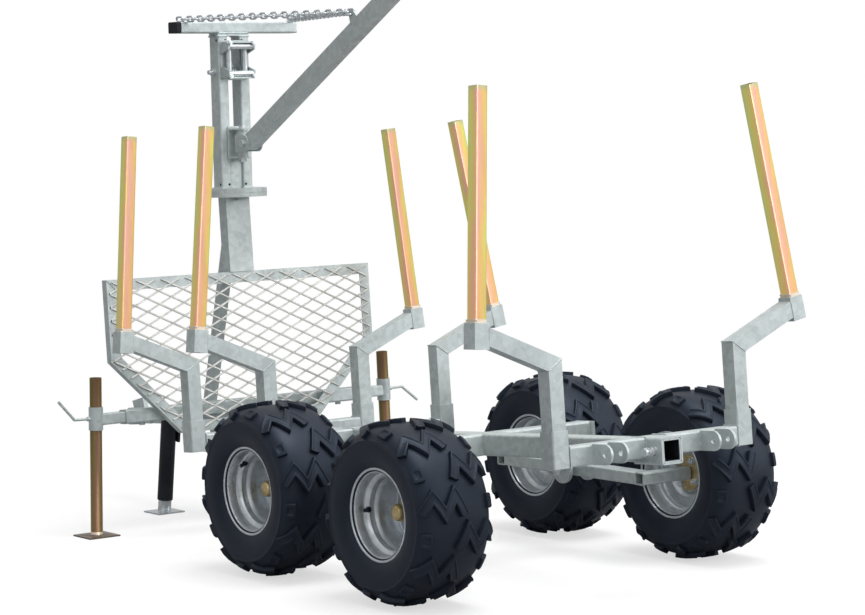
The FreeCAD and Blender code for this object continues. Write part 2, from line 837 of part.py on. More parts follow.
# ---------------------------------------------------------------- bunks
def bunk_beam(name):
    """Crossbeam halves welded to a sleeve on the main beam, with an upright sleeve at each end."""
    body = new_body(f"{name}_bunk_beam", FRAME)
    station = f"dim.{name}_bunk_x"
    bore = "(dim.beam_width + 2 * dim.slide_clearance)"
    sleeve = f"(2 * {SLEEVE_HALF})"
    pad(body, "YZ", f"{station} - dim.sleeve_overhang", f"{station} + dim.crossbeam_width / 2",
        rounded("0", "dim.beam_height", sleeve, sleeve, "dim.sleeve_corner"),
        centred("0", "dim.beam_height", bore, bore))
    half = pad(body, "XZ", SLEEVE_HALF, f"dim.post_y - {POST_SLEEVE_HALF}",
               *tube_profile(station, CROSSBEAM_HEIGHT, "dim.crossbeam_width", "dim.crossbeam_width",
                             "dim.crossbeam_wall", "dim.crossbeam_corner"))
    post_bore = f"(2 * {POST_HALF} + 2 * dim.slide_clearance)"
    post_sleeve = f"(2 * {POST_SLEEVE_HALF})"
    upright = pad(body, "XY", POST_FOOT, f"{POST_FOOT} + dim.post_sleeve_height",
                  rounded(station, "dim.post_y", post_sleeve, post_sleeve, "dim.post_sleeve_corner"),
                  centred(station, "dim.post_y", post_bore, post_bore))
    mirrored(body, half, upright)
    keep(f"{name}_bunk_beam", body)


def along_arm(y_start, z_start, lean):
    """Where a line of the arm's slope, from a given point, meets the socket's inner face."""
    reach = (
        f"((cos({lean}) * (dim.socket_y - {y_start})"
        f" + sin({lean}) * (dim.socket_height - {z_start}) - {SOCKET_HALF})"
        f" / cos(dim.arm_rise_deg - {lean}))"
    )
    return (
        f"{y_start} + {reach} * cos(dim.arm_rise_deg)",
        f"{z_start} + {reach} * sin(dim.arm_rise_deg)",
    )


def elbow_outline(inset, lean):
    """The bent arm seen from behind: an upright post, a mitred elbow and a slope up to the socket."""
    half = f"({POST_HALF} - {inset})"
    mitre = f"({half} * tan(45 - dim.arm_rise_deg / 2))"
    low = (f"(dim.post_y + {half})", f"(dim.elbow_height - {mitre})")
    high = (f"(dim.post_y - {half})", f"(dim.elbow_height + {mitre})")
    return [
        (f"dim.post_y - {half}", POST_FOOT),
        (f"dim.post_y + {half}", POST_FOOT),
        low,
        along_arm(*low, lean),
        along_arm(*high, lean),
        high,
    ]


def socket_corner(across, along, lean):
    """A point of the leaning socket, from its centre: outward across it and up along it."""
    return (
        f"dim.socket_y + {across} * cos({lean}) - {along} * sin({lean})",
        f"dim.socket_height + {across} * sin({lean}) + {along} * cos({lean})",
    )


def socket_outline(half_width, half_length, lean):
    return [
        socket_corner(f"(-{half_width})", f"(-{half_length})", lean),
        socket_corner(half_width, f"(-{half_length})", lean),
        socket_corner(half_width, half_length, lean),
        socket_corner(f"(-{half_width})", half_length, lean),
    ]


def mirror_image(outline):
    """The same outline on the right, still anticlockwise."""
    return [(f"-({y})", z) for y, z in reversed(outline)]


def across_bunk(station, half_width):
    return f"{station} - {half_width}", f"{station} + {half_width}"


def bunk_arms(name):
    """Both arms of a bunk. Each socket leans in by its own amount, as the stakes do."""
    body = new_body(f"{name}_bunk_arms", FRAME)
    station = f"dim.{name}_bunk_x"
    bore = "(dim.stake_width / 2 + dim.slide_clearance)"
    half_length = "(dim.socket_length / 2)"
    for side in ("left", "right"):
        lean = f"dim.{name}_{side}_lean_deg"
        arm = elbow_outline("0", lean)
        arm_hollow = elbow_outline("dim.post_wall", lean)
        socket = socket_outline(SOCKET_HALF, half_length, lean)
        socket_hole = socket_outline(bore, f"({half_length} + dim.side_clearance)", lean)
        if side == "right":
            arm, arm_hollow = mirror_image(arm), mirror_image(arm_hollow)
            socket, socket_hole = mirror_image(socket), mirror_image(socket_hole)
        pad(body, "YZ", *across_bunk(station, POST_HALF), arm)
        cut(body, "YZ", *across_bunk(station, f"({POST_HALF} - dim.post_wall)"), arm_hollow)
        pad(body, "YZ", *across_bunk(station, SOCKET_HALF), socket)
        cut(body, "YZ", *across_bunk(station, bore), socket_hole)
    keep(f"{name}_bunk_arms", body)


def stake_place(name, side, sign):
    """A stake stands in its socket, leaning in toward the load at the top."""
    lean = f"dim.{name}_{side}_lean_deg"
    y, z = socket_corner("0", "dim.socket_length / 2", lean)
    return (
        f"{FRAME} * placement(vector(dim.{name}_bunk_x; {on_side(sign, y)}; {z});"
        f" rotation(vector(1; 0; 0); {on_side(sign, lean)}))"
    )


def stakes(name):
    """A square tube through the socket, and a ring round it that sits on the socket's rim."""
    pair = []
    for side, sign in (("left", 1), ("right", -1)):
        body = new_body(f"{name}_stake_{side}", stake_place(name, side, sign))
        inner = "(dim.stake_width - dim.stake_wall)"
        pad(body, "XY", "-dim.socket_length", "dim.stake_length",
            *tube_profile("0", "0", "dim.stake_width", "dim.stake_width", "dim.stake_wall",
                          "dim.stake_corner"))
        pad(body, "XY", "0", "dim.stake_ring_height",
            rounded("0", "0", "dim.stake_ring_width", "dim.stake_ring_width", "dim.stake_ring_corner"),
            centred("0", "0", inner, inner))
        pair.append(body)
    paired(f"{name}_stakes", *pair)


def rear_lugs():
    """Two pairs of round-nosed lugs on the rear crossbeam."""
    body = new_body("rear_lugs", FRAME)
    base = "(dim.rear_bunk_x - dim.crossbeam_width / 2)"
    half = "dim.lug_depth / 2"
    eye = f"({base} - dim.lug_reach)"
    outline = [
        (base, f"{CROSSBEAM_HEIGHT} - {half}"),
        (base, f"{CROSSBEAM_HEIGHT} + {half}"),
        (eye, f"{CROSSBEAM_HEIGHT} + {half}", half),
        (f"{eye} - {half}", CROSSBEAM_HEIGHT, half),
        (eye, f"{CROSSBEAM_HEIGHT} - {half}"),
    ]
    hole = circle(eye, CROSSBEAM_HEIGHT, "dim.lug_hole_diameter / 2")
    plates = []
    for place in ("dim.lug_inner_y", "dim.lug_outer_y"):
        low, high = f"{place} - dim.lug_plate / 2", f"{place} + dim.lug_plate / 2"
        plates.append(pad(body, "XZ", low, high, outline, hole))
    mirrored(body, *plates)
    keep("rear_lugs", body)


# ---------------------------------------------------------------- headboard
def headboard_outline(inset):
    """A six-sided outline with its two lower corners cut off at 45 degrees."""
    side = f"(dim.headboard_half_width - {inset})"
    slip = f"((sqrt(2) - 1) * {inset})"
    waist = f"{BEAM_TOP} + dim.headboard_chamfer + {slip}"
    foot = f"(dim.headboard_half_width - dim.headboard_chamfer - {slip})"
    return [
        (f"-{foot}", f"{BEAM_TOP} + {inset}"),
        (foot, f"{BEAM_TOP} + {inset}"),
        (side, waist),
        (side, f"dim.headboard_top - {inset}"),
        (f"-{side}", f"dim.headboard_top - {inset}"),
        (f"-{side}", waist),
    ]


def headboard_frame():
    """Angle iron round the outline: one leg faces the load, the other runs forward at the edge."""
    body = new_body("headboard_frame", FRAME)
    pad(body, "YZ", "dim.headboard_x", "dim.headboard_x + dim.angle_thickness",
        headboard_outline("0"), headboard_outline("dim.angle_leg"))
    pad(body, "YZ", "dim.headboard_x + dim.angle_thickness", "dim.headboard_x + dim.angle_web",
        headboard_outline("0"), headboard_outline("dim.angle_thickness"))
    notch = "(dim.drawbar_width + 2 * dim.slide_clearance)"
    beyond = "dim.side_clearance"
    cut(body, "YZ", f"dim.headboard_x - {beyond}", f"dim.headboard_x + dim.angle_web + {beyond}",
        rectangle(f"-{notch} / 2", f"{notch} / 2", f"{BEAM_TOP} - {beyond}",
                  f"{DRAWBAR_TOP} + dim.slide_clearance"))
    keep("headboard_frame", body)


def diamond_face(centre, half_long, half_tall):
    corners = [
        centre + FreeCAD.Vector(0, half_long, 0),
        centre + FreeCAD.Vector(0, 0, half_tall),
        centre - FreeCAD.Vector(0, half_long, 0),
        centre - FreeCAD.Vector(0, 0, half_tall),
    ]
    return Part.Face(Part.makePolygon(corners + corners[:1]))


def headboard_mesh():
    """Expanded metal: staggered rows of diamonds, which leave strands of one width between them.
    The sheet lies on the frame's rear face, and its cut strands end a little inside the frame's edge."""
    inset = value("dim.mesh_inset")
    rear = value("dim.headboard_x - dim.mesh_thickness")
    corners = [
        FreeCAD.Vector(rear, value(y), value(z)) for y, z in headboard_outline("dim.mesh_inset")
    ]
    sheet = Part.Face(Part.makePolygon(corners + corners[:1]))
    long_pitch = value("dim.diamond_length")
    tall_pitch = value("dim.diamond_height")
    strand = value("dim.strand_width")
    slope = math.atan2(tall_pitch, long_pitch)
    half_long = (long_pitch - strand / math.sin(slope)) / 2
    half_tall = (tall_pitch - strand / math.cos(slope)) / 2
    width = value("2 * dim.headboard_half_width") - 2 * inset
    low = corners[0].z
    rows = int(2 * (corners[3].z - low) / tall_pitch) + 2
    columns = int(width / long_pitch / 2) + 2
    notch = value("dim.drawbar_width") / 2 + strand
    notch_corner = FreeCAD.Vector(rear, -notch, low)
    along_x, along_y = FreeCAD.Vector(1, 0, 0), FreeCAD.Vector(0, 1, 0)
    notch_height = value(DRAWBAR_TOP) + strand - low
    holes = [Part.makePlane(2 * notch, notch_height, notch_corner, along_x, along_y)]
    for row in range(rows):
        for column in range(-columns, columns + 1):
            across = (column + 0.5 * (row % 2)) * long_pitch
            centre = FreeCAD.Vector(rear, across, low + strand + 0.5 * row * tall_pitch)
            holes.append(diamond_face(centre, half_long, half_tall))
    grille = sheet.cut(Part.makeCompound(holes))
    panel = max(grille.Faces, key=lambda face: face.Area)
    mesh = doc.addObject("Part::Feature", "headboard_mesh")
    mesh.Shape = panel.extrude(FreeCAD.Vector(value("dim.mesh_thickness"), 0, 0))
    mesh.setExpression("Placement", FRAME)
    keep("headboard_mesh", mesh)


# ---------------------------------------------------------------- lower crane
def slew_base_in_frame(x):
    """The height, in the level frame's own terms, of the slew plate's level underside at x."""
    return (
        f"((dim.slew_base_height - dim.axle_height + ({x}) * sin(dim.nose_down_deg))"
        f" / cos(dim.nose_down_deg) + dim.axle_height)"
    )


def crane_lower_mast():
    """A rectangular tube on the headboard's top rail, cut off level under the slew plate."""
    body = new_body("crane_lower_mast", FRAME)
    rear, front = "dim.mast_rear_x", "(dim.mast_rear_x + dim.mast_depth)"
    wall = "dim.mast_wall"
    half = "dim.mast_width / 2"
    pad(body, "XZ", f"-{half}", half,
        [(rear, "dim.headboard_top"), (front, "dim.headboard_top"), (front, slew_base_in_frame(front)),
         (rear, slew_base_in_frame(rear))])
    cut(body, "XY", f"dim.headboard_top - {wall}", f"{slew_base_in_frame(front)} + {wall}",
        rectangle(f"{rear} + {wall}", f"{front} - {wall}", f"-{half} + {wall}", f"{half} - {wall}"))
    keep("crane_lower_mast", body)


def strut_outline(inset):
    """A brace from the mast's front face down to the drawbar, cut to fit both."""
    mast = "(dim.mast_rear_x + dim.mast_depth)"
    drop = f"(dim.strut_top - {DRAWBAR_TOP})"
    run = f"(dim.strut_foot_x - {mast})"
    length = f"sqrt({drop} * {drop} + {run} * {run})"
    tall = f"(dim.strut_depth * {length} / {run})"
    wide = f"(dim.strut_depth * {length} / {drop})"
    upper = f"({inset} * {length} / {run})"
    lower = f"({inset} * {length} / {drop})"
    return [
        (mast, f"dim.strut_top - {tall} + {upper}"),
        (f"dim.strut_foot_x - {wide} + {lower}", DRAWBAR_TOP),
        (f"dim.strut_foot_x - {lower}", DRAWBAR_TOP),
        (mast, f"dim.strut_top - {upper}"),
    ]


def crane_strut():
    body = new_body("crane_strut", FRAME)
    hollow = "(dim.strut_width / 2 - dim.strut_wall)"
    pad(body, "XZ", "-dim.strut_width / 2", "dim.strut_width / 2", strut_outline("0"))
    cut(body, "XZ", f"-{hollow}", hollow, strut_outline("dim.strut_wall"))
    keep("crane_strut", body)


def slew_base():
    """The fixed slew plate, with a clamp screw under it behind the mast."""
    body = new_body("slew_base")
    size = "dim.slew_screw_diameter"
    pad(body, "XY", "dim.slew_base_height", "dim.slew_base_height + dim.slew_plate_thickness",
        circle("dim.slew_x", "0", "dim.slew_plate_radius"),
        circle("dim.slew_x", "0", "dim.slew_pin_diameter / 2 + dim.running_clearance"))
    pad(body, "XY", f"dim.slew_base_height - {nut_height(size)}", "dim.slew_base_height",
        hexagon("dim.slew_screw_x", "0", across_flats(size)))
    keep("slew_base", body)


# ---------------------------------------------------------------- upper crane
def crane_upper_mast():
    """Two tubes side by side on the turning slew plate, joined by a plate on top."""
    body = new_body("crane_upper_mast")
    plate_low = "dim.slew_base_height + dim.slew_plate_thickness + dim.slew_gap"
    pad(body, "XY", plate_low, COLUMN_FOOT, circle("dim.slew_x", "0", "dim.slew_plate_radius"))
    pad(body, "XY", "dim.slew_base_height - dim.slew_pin_depth", plate_low,
        circle("dim.slew_x", "0", "dim.slew_pin_diameter / 2"))
    for sign in ("", "-"):
        pad(body, "XY", COLUMN_FOOT, "dim.column_top",
            *tube_profile("dim.slew_x", f"{sign}{COLUMN_Y}", "dim.column_depth", "dim.column_width",
                          "dim.column_wall", "dim.column_corner"))
    pad(body, "XY", "dim.column_top", TOP_BEAM_FOOT,
        rectangle(COLUMN_REAR_X, COLUMN_FRONT_X, f"-{COLUMN_SIDE}", COLUMN_SIDE))
    cut(body, "XZ", f"-{COLUMN_SIDE} - dim.side_clearance", f"{COLUMN_SIDE} + dim.side_clearance",
        circle("dim.slew_x", "dim.pulley_height", "dim.pulley_bolt_diameter / 2"))
    keep("crane_upper_mast", body)


def top_beam():
    """The cross tube that the stay chains hang from, with a plastic cap in its left end."""
    body = new_body("top_beam")
    low = "(-dim.top_beam_length / 2 - dim.top_beam_shift)"
    high = "(dim.top_beam_length / 2 - dim.top_beam_shift)"
    height = f"({TOP_BEAM_FOOT} + dim.top_beam_depth / 2)"
    pad(body, "XZ", low, high,
        *tube_profile("dim.slew_x", height, "dim.column_depth", "dim.top_beam_depth",
                      "dim.column_wall", "dim.column_corner"))
    keep("top_beam", body)
    cap = new_body("top_beam_cap")
    pad(cap, "XZ", high, f"{high} + dim.end_cap_length",
        rounded("dim.slew_x", height, "dim.column_depth", "dim.top_beam_depth", "dim.column_corner"))
    keep("top_beam_cap", cap)


def hinge_bracket():
    """A plate across the two columns, with a lug above and below the boom's knuckle."""
    body = new_body("hinge_bracket")
    half = "(dim.hinge_lug_spacing / 2)"
    lug = "dim.hinge_lug_plate"
    nose = "dim.hinge_lug_radius"
    width = "(dim.column_gap / 2 + dim.hinge_plate_overlap)"
    rear = f"{COLUMN_REAR_X} - {lug}"
    reach = f"({half} + dim.hinge_plate_margin)"
    pad(body, "YZ", rear, COLUMN_REAR_X,
        rectangle(f"-{width}", width, f"dim.boom_pin_height - {reach}", f"dim.boom_pin_height + {reach}"))
    outline = [
        (rear, width),
        ("dim.hinge_bolt_x", nose, nose),
        (f"dim.hinge_bolt_x - {nose}", "0", nose),
        ("dim.hinge_bolt_x", f"-{nose}"),
        (rear, f"-{width}"),
    ]
    bolt = circle("dim.hinge_bolt_x", "0", "dim.hinge_bolt_diameter / 2")
    for low, high in ((half, f"{half} + {lug}"), (f"-{half} - {lug}", f"-{half}")):
        pad(body, "XY", f"dim.boom_pin_height + {low}", f"dim.boom_pin_height + {high}", outline, bolt)
    keep("hinge_bracket", body)


def knuckle():
    """The block between the lugs, on its upright bolt, with two round-nosed cheeks for the boom."""
    body = new_body("boom_knuckle")
    half = "(dim.hinge_lug_spacing / 2)"
    nose = "dim.cheek_radius"
    inner = f"({BOOM_HALF} + dim.side_clearance)"
    outer = f"({inner} + dim.cheek_plate)"
    pad(body, "XY", f"dim.boom_pin_height - {half} + dim.side_clearance",
        f"dim.boom_pin_height + {half} - dim.side_clearance",
        circle("dim.hinge_bolt_x", "0", "dim.knuckle_radius"))
    cheek = [
        ("dim.hinge_bolt_x", f"dim.boom_pin_height - {nose}"),
        ("dim.hinge_bolt_x", f"dim.boom_pin_height + {nose}"),
        ("dim.boom_pin_x", f"dim.boom_pin_height + {nose}", nose),
        (f"dim.boom_pin_x - {nose}", "dim.boom_pin_height", nose),
        ("dim.boom_pin_x", f"dim.boom_pin_height - {nose}"),
    ]
    pin = circle("dim.boom_pin_x", "dim.boom_pin_height", "dim.boom_pin_diameter / 2")
    for low, high in ((inner, outer), (f"-{outer}", f"-{inner}")):
        pad(body, "XZ", low, high, cheek, pin)
    pad(body, "XZ", f"-{inner}", inner,
        rectangle("dim.hinge_bolt_x - dim.cheek_web", "dim.hinge_bolt_x",
                  f"dim.boom_pin_height - {nose}", f"dim.boom_pin_height + {nose}"))
    cut(body, "XY", f"dim.boom_pin_height - {half}", f"dim.boom_pin_height + {half}",
        circle("dim.hinge_bolt_x", "0", "dim.hinge_bolt_diameter / 2 + dim.running_clearance"))
    keep("boom_knuckle", body)


def hinge_bolts():
    """The knuckle's upright bolt with its nut, and the boom's cross bolt."""
    upright = new_body("knuckle_bolt")
    size = "dim.hinge_bolt_diameter"
    half = "(dim.hinge_lug_spacing / 2 + dim.hinge_lug_plate)"
    high, low = f"dim.boom_pin_height + {half}", f"dim.boom_pin_height - {half}"
    nut = hexagon("dim.hinge_bolt_x", "0", across_flats(size))
    pad(upright, "XY", f"{low} - {nut_height(size)} - dim.side_clearance", high,
        circle("dim.hinge_bolt_x", "0", f"{size} / 2"))
    pad(upright, "XY", high, f"{high} + {head_height(size)}",
        circle("dim.hinge_bolt_x", "0", f"{across_flats(size)} / 2"))
    pad(upright, "XY", f"{low} - {nut_height(size)}", low, nut)
    cross = new_body("boom_pin_bolt")
    size = "dim.boom_pin_diameter"
    reach = f"({BOOM_HALF} + dim.side_clearance + dim.cheek_plate)"
    pin = ("dim.boom_pin_x", "dim.boom_pin_height")
    head = hexagon(*pin, across_flats(size))
    pad(cross, "XZ", f"-{reach}", reach, circle(*pin, f"{size} / 2"))
    pad(cross, "XZ", reach, f"{reach} + {head_height(size)}", head)
    pad(cross, "XZ", f"-{reach} - {nut_height(size)}", f"-{reach}", head)
    paired("hinge_bolts", upright, cross)


# ---------------------------------------------------------------- rope guide
FAIRLEAD_BACK = f"({COLUMN_REAR_X} - dim.fairlead_plate)"
FAIRLEAD_HALF_WIDTH = "(dim.column_gap / 2 + dim.fairlead_overlap)"
EAR_HEIGHT = "(dim.roller_length / 2 + dim.fairlead_margin)"
LEVEL_ROLLER_RISE = f"({EAR_HEIGHT} - dim.fairlead_ear / 2 - dim.roller_side_gap - dim.roller_radius)"


def fairlead():
    """A roller fairlead on the columns' rear faces: a windowed plate with ears round its four rollers."""
    body = new_body("fairlead_frame")
    centre = "dim.fairlead_height"
    margin = "dim.fairlead_margin"
    ear = "dim.fairlead_ear"
    plate_width = f"(2 * {FAIRLEAD_HALF_WIDTH})"
    plate_height = f"(2 * ({EAR_HEIGHT} + {margin}))"
    window = f"(2 * {LEVEL_ROLLER_RISE} - dim.roller_radius)"
    pad(body, "YZ", FAIRLEAD_BACK, COLUMN_REAR_X,
        rounded("0", centre, plate_width, plate_height, "dim.fairlead_corner"),
        centred("0", centre, "dim.fairlead_window", window))
    reach = f"(4 * dim.roller_radius + {ear})"
    nose = f"{FAIRLEAD_BACK} - {reach}"
    roller_end = f"({FAIRLEAD_HALF_WIDTH} - {margin})"
    low_edge = f"({LEVEL_ROLLER_RISE} - dim.roller_radius)"
    for up in ("+", "-"):
        ear_height = f"{centre} {up} {EAR_HEIGHT}"
        pad(body, "XY", f"{ear_height} - {ear} / 2", f"{ear_height} + {ear} / 2",
            rectangle(nose, FAIRLEAD_BACK, f"-{roller_end}", roller_end))
        side_ear = [
            (FAIRLEAD_BACK, ear_height),
            (f"{nose} + {margin}", ear_height),
            (nose, f"{centre} {up} ({EAR_HEIGHT} - {margin})"),
            (nose, f"{centre} {up} {low_edge}"),
            (FAIRLEAD_BACK, f"{centre} {up} ({low_edge} - 2 * {margin})"),
        ]
        pad(body, "XZ", roller_end, f"{roller_end} + {ear}", side_ear)
        pad(body, "XZ", f"-{roller_end} - {ear}", f"-{roller_end}", side_ear)
    keep("fairlead_frame", body)
    rollers = new_body("fairlead_rollers")
    radius = "dim.roller_radius"
    upright_x = f"({FAIRLEAD_BACK} - {radius} - dim.roller_gap)"
    level_x = f"({FAIRLEAD_BACK} - 3 * {radius} - 2 * dim.roller_gap)"
    for sign in ("-", ""):
        pad(rollers, "XY", f"{centre} - {EAR_HEIGHT} + {ear} / 2", f"{centre} + {EAR_HEIGHT} - {ear} / 2",
            circle(upright_x, f"{sign}(dim.fairlead_window / 2 + {radius})", radius))
    for up in ("+", "-"):
        pad(rollers, "XZ", f"-{roller_end}", roller_end,
            circle(level_x, f"{centre} {up} {LEVEL_ROLLER_RISE}", radius))
    keep("fairlead_rollers", rollers)


def rope_wheel(label, place, width, radius, groove, bore):
    """A grooved wheel that turns about the Y axis of its place."""
    wheel = new_body(label, place)
    lip = f"({width} / 8)"
    half_groove = f"({width} / 2 - {lip})"
    hollow = f"(({half_groove} * {half_groove} + {groove} * {groove}) / (2 * {groove}))"
    turned(wheel, "YZ", [
        (f"-{width} / 2", bore),
        (f"{width} / 2", bore),
        (f"{width} / 2", radius),
        (half_groove, radius, f"-{hollow}"),
        (f"-{half_groove}", radius),
        (f"-{width} / 2", radius),
    ])
    keep(label, wheel)


def mast_pulley():
    """The small pulley between the columns that turns the rope down, on its own bolt."""
    place = moved("dim.slew_x", "0", "dim.pulley_height")
    size = "dim.pulley_bolt_diameter"
    rope_wheel("mast_pulley", place, "dim.pulley_width", "dim.pulley_radius", "dim.pulley_groove",
               f"{size} / 2 + dim.running_clearance")
    bolt = new_body("mast_pulley_bolt", place)
    head = hexagon("0", "0", across_flats(size))
    pad(bolt, "XZ", f"-{COLUMN_SIDE}", f"{COLUMN_SIDE} + dim.pulley_bolt_end",
        circle("0", "0", f"{size} / 2"))
    pad(bolt, "XZ", COLUMN_SIDE, f"{COLUMN_SIDE} + {nut_height(size)}", head)
    pad(bolt, "XZ", f"-{COLUMN_SIDE} - {head_height(size)}", f"-{COLUMN_SIDE}", head)
    wheel_side = "dim.pulley_width / 2 + dim.roller_side_gap"
    for low, high in ((wheel_side, "dim.column_gap / 2"), ("-dim.column_gap / 2", f"-({wheel_side})")):
        pad(bolt, "XZ", low, high, circle("0", "0", "dim.spacer_radius"))
    keep("mast_pulley_bolt", bolt)


# ---------------------------------------------------------------- boom
def boom():
    """A square tube with a rounded hinge end, a chain lug on top and two plates at the tip."""
    body = new_body("boom", BOOM_PLACE)
    half = BOOM_HALF
    tip = "dim.boom_length"
    end = f"({tip} - dim.sheave_radius - dim.sheave_end_gap)"
    pad(body, "XZ", f"-{half}", half,
        [("0", f"-{half}"), (end, f"-{half}"), (end, half), ("0", half, half),
         (f"-{half}", "0", half)])
    hollow = f"({half} - dim.boom_wall)"
    cut(body, "YZ", "-dim.boom_width", tip, rectangle(f"-{hollow}", hollow, f"-{hollow}", hollow))
    bore = "dim.boom_pin_diameter / 2 + dim.running_clearance"
    cut(body, "XZ", f"-{half} - dim.side_clearance", f"{half} + dim.side_clearance",
        circle("0", "0", bore))
    lug_x = "dim.chain_lug_distance"
    lug_high = f"-({half} + dim.chain_lug_height)"
    nose = "dim.chain_lug_radius"
    pad(body, "XZ", "-dim.chain_lug_plate / 2", "dim.chain_lug_plate / 2",
        [(f"{lug_x} - dim.chain_lug_foot", f"-{half}"), (f"{lug_x} - {nose}", f"{lug_high} + {nose}", nose),
         (lug_x, lug_high, nose), (f"{lug_x} + {nose}", f"{lug_high} + {nose}"),
         (f"{lug_x} + dim.chain_lug_foot", f"-{half}")],
        circle(lug_x, CHAIN_LUG_HOLE, "dim.chain_lug_hole / 2"))
    nose = "dim.tip_plate_radius"
    start = f"{end} - dim.tip_plate_overlap"
    for low, high in ((half, f"{half} + dim.tip_plate"), (f"-{half} - dim.tip_plate", f"-{half}")):
        pad(body, "XZ", low, high,
            [(start, f"-{half}"), (tip, f"-{nose}", nose), (f"{tip} + {nose}", "0", nose), (tip, nose),
             (start, half)],
            circle(tip, "0", "dim.sheave_pin_diameter / 2"))
    keep("boom", body)


def boom_sheave():
    """The rope sheave at the boom's tip, on its own pin with a spacer each side."""
    place = f"{BOOM_PLACE} * {moved('dim.boom_length', '0', '0')}"
    size = "dim.sheave_pin_diameter"
    rope_wheel("boom_sheave", place, "dim.sheave_width", "dim.sheave_radius", "dim.sheave_groove",
               f"{size} / 2 + dim.running_clearance")
    pin = new_body("sheave_pin", place)
    side = f"({BOOM_HALF} + dim.tip_plate)"
    head = hexagon("0", "0", across_flats(size))
    pad(pin, "XZ", f"-{side}", side, circle("0", "0", f"{size} / 2"))
    pad(pin, "XZ", side, f"{side} + {head_height(size)}", head)
    pad(pin, "XZ", f"-{side} - {head_height(size)}", f"-{side}", head)
    wheel_side = "dim.sheave_width / 2 + dim.roller_side_gap"
    for low, high in ((wheel_side, BOOM_HALF), (f"-{BOOM_HALF}", f"-({wheel_side})")):
        pad(pin, "XZ", low, high, circle("0", "0", "dim.spacer_radius"))
    keep("sheave_pin", pin)


def chain_shackle():
    """A ring through the boom's chain lug, which both stay chains hook on to."""
    ring = doc.addObject("Part::Torus", "chain_shackle")
    ring.setExpression("Radius1", "dim.shackle_radius")
    ring.setExpression("Radius2", "dim.shackle_bar / 2")
    along = f"(dim.shackle_radius + {SHACKLE_PLAY})"
    ring.setExpression(
        "Placement",
        f"{BOOM_PLACE} * placement(vector(dim.chain_lug_distance - {along} * cos(dim.boom_rise_deg);"
        f" 0; {CHAIN_LUG_HOLE} - {along} * sin(dim.boom_rise_deg)); rotation(vector(0; 1; 0);"
        " -dim.boom_rise_deg))",
    )
    keep("chain_shackle", ring)


def stay_chains():
    """Each chain's plain stand-in: a straight bar from the boom's shackle to an end of the top beam."""
    rise = math.radians(value("dim.boom_rise_deg"))
    along = value("dim.chain_lug_distance")
    above = -value(CHAIN_LUG_HOLE)
    radius = value("dim.chain_width / 2")
    apart = radius + value("dim.roller_gap")
    ring_end = value(f"2 * dim.shackle_radius + dim.shackle_bar / 2 + {SHACKLE_PLAY}")
    start = FreeCAD.Vector(
        value("dim.boom_pin_x") - along * math.cos(rise) + above * math.sin(rise) + ring_end, 0,
        value("dim.boom_pin_height") + along * math.sin(rise) + above * math.cos(rise),
    )
    height = value(f"{TOP_BEAM_FOOT} + dim.top_beam_depth + dim.roller_side_gap") + radius
    reach = value("dim.top_beam_length / 2 - dim.chain_end_inset")
    for side, sign in (("left", 1), ("right", -1)):
        end = FreeCAD.Vector(value("dim.slew_x"), sign * reach - value("dim.top_beam_shift"), height)
        begin = start + FreeCAD.Vector(0, sign * apart, 0)
        chain = doc.addObject("Part::Feature", f"stay_chain_{side}")
        chain.Shape = Part.makeCylinder(radius, (end - begin).Length, begin, end - begin)
        keep(f"stay_chain_{side}", chain)


# ---------------------------------------------------------------- outriggers
def outrigger_carrier():
    body = new_body("outrigger_carrier", FRAME)
    bore = "(dim.carrier_width - 2 * dim.carrier_wall)"
    size = "dim.carrier_screw_diameter"
    pad(body, "XZ", "-dim.carrier_half_length", "dim.carrier_half_length",
        rounded("dim.carrier_x", CARRIER_HEIGHT, "dim.carrier_width", "dim.carrier_width",
                "dim.carrier_corner"),
        centred("dim.carrier_x", CARRIER_HEIGHT, bore, bore))
    screw = pad(body, "XY", f"{DRAWBAR_TOP} - {nut_height(size)}", DRAWBAR_TOP,
                hexagon("dim.carrier_x", "(dim.carrier_half_length - dim.carrier_screw_inset)",
                        across_flats(size)))
    mirrored(body, screw)
    keep("outrigger_carrier", body)


def further_out(sign):
    """The right arm stands further out of the carrier than the left one."""
    return "0" if sign > 0 else "dim.right_arm_further_out"


def leg_place(sign):
    """A leg's own axis, which leans in a little at the top, from the centre of its foot."""
    return (
        f"placement(vector(dim.leg_x; {on_side(sign, f'dim.leg_y + {further_out(sign)}')}; 0);"
        f" rotation(vector(1; 0; 0); {on_side(sign, 'dim.leg_splay_deg')}))"
    )


def clamp_handle(side, sign):
    """The collar's clamp screw, bent into a grip: it runs outward, then turns along the grip's slope."""
    bend = f"({COLLAR_RADIUS} + dim.handle_reach)"
    place = f"{leg_place(sign)} * {moved('0', on_side(sign, bend), 'dim.collar_height')}"
    turn = on_side(sign, f"dim.{side}_grip_deg")
    outward = on_side(-sign, "90")
    grip = doc.addObject("Part::Cylinder", f"handle_grip_{side}")
    grip.setExpression("Height", "dim.handle_grip")
    grip.setExpression(
        "Placement", f"{place} * placement(vector(0; 0; 0); rotation(vector(1; 0; 0); -({turn})))")
    shank = doc.addObject("Part::Cylinder", f"handle_shank_{side}")
    shank.setExpression("Height", bend)
    shank.setExpression(
        "Placement",
        f"{leg_place(sign)} * placement(vector(0; 0; dim.collar_height);"
        f" rotation(vector(1; 0; 0); {outward}))")
    elbow = doc.addObject("Part::Sphere", f"handle_elbow_{side}")
    elbow.setExpression("Placement", place)
    for run in (grip, shank, elbow):
        run.setExpression("Radius", "dim.handle_diameter / 2")
    return [grip, shank, elbow]


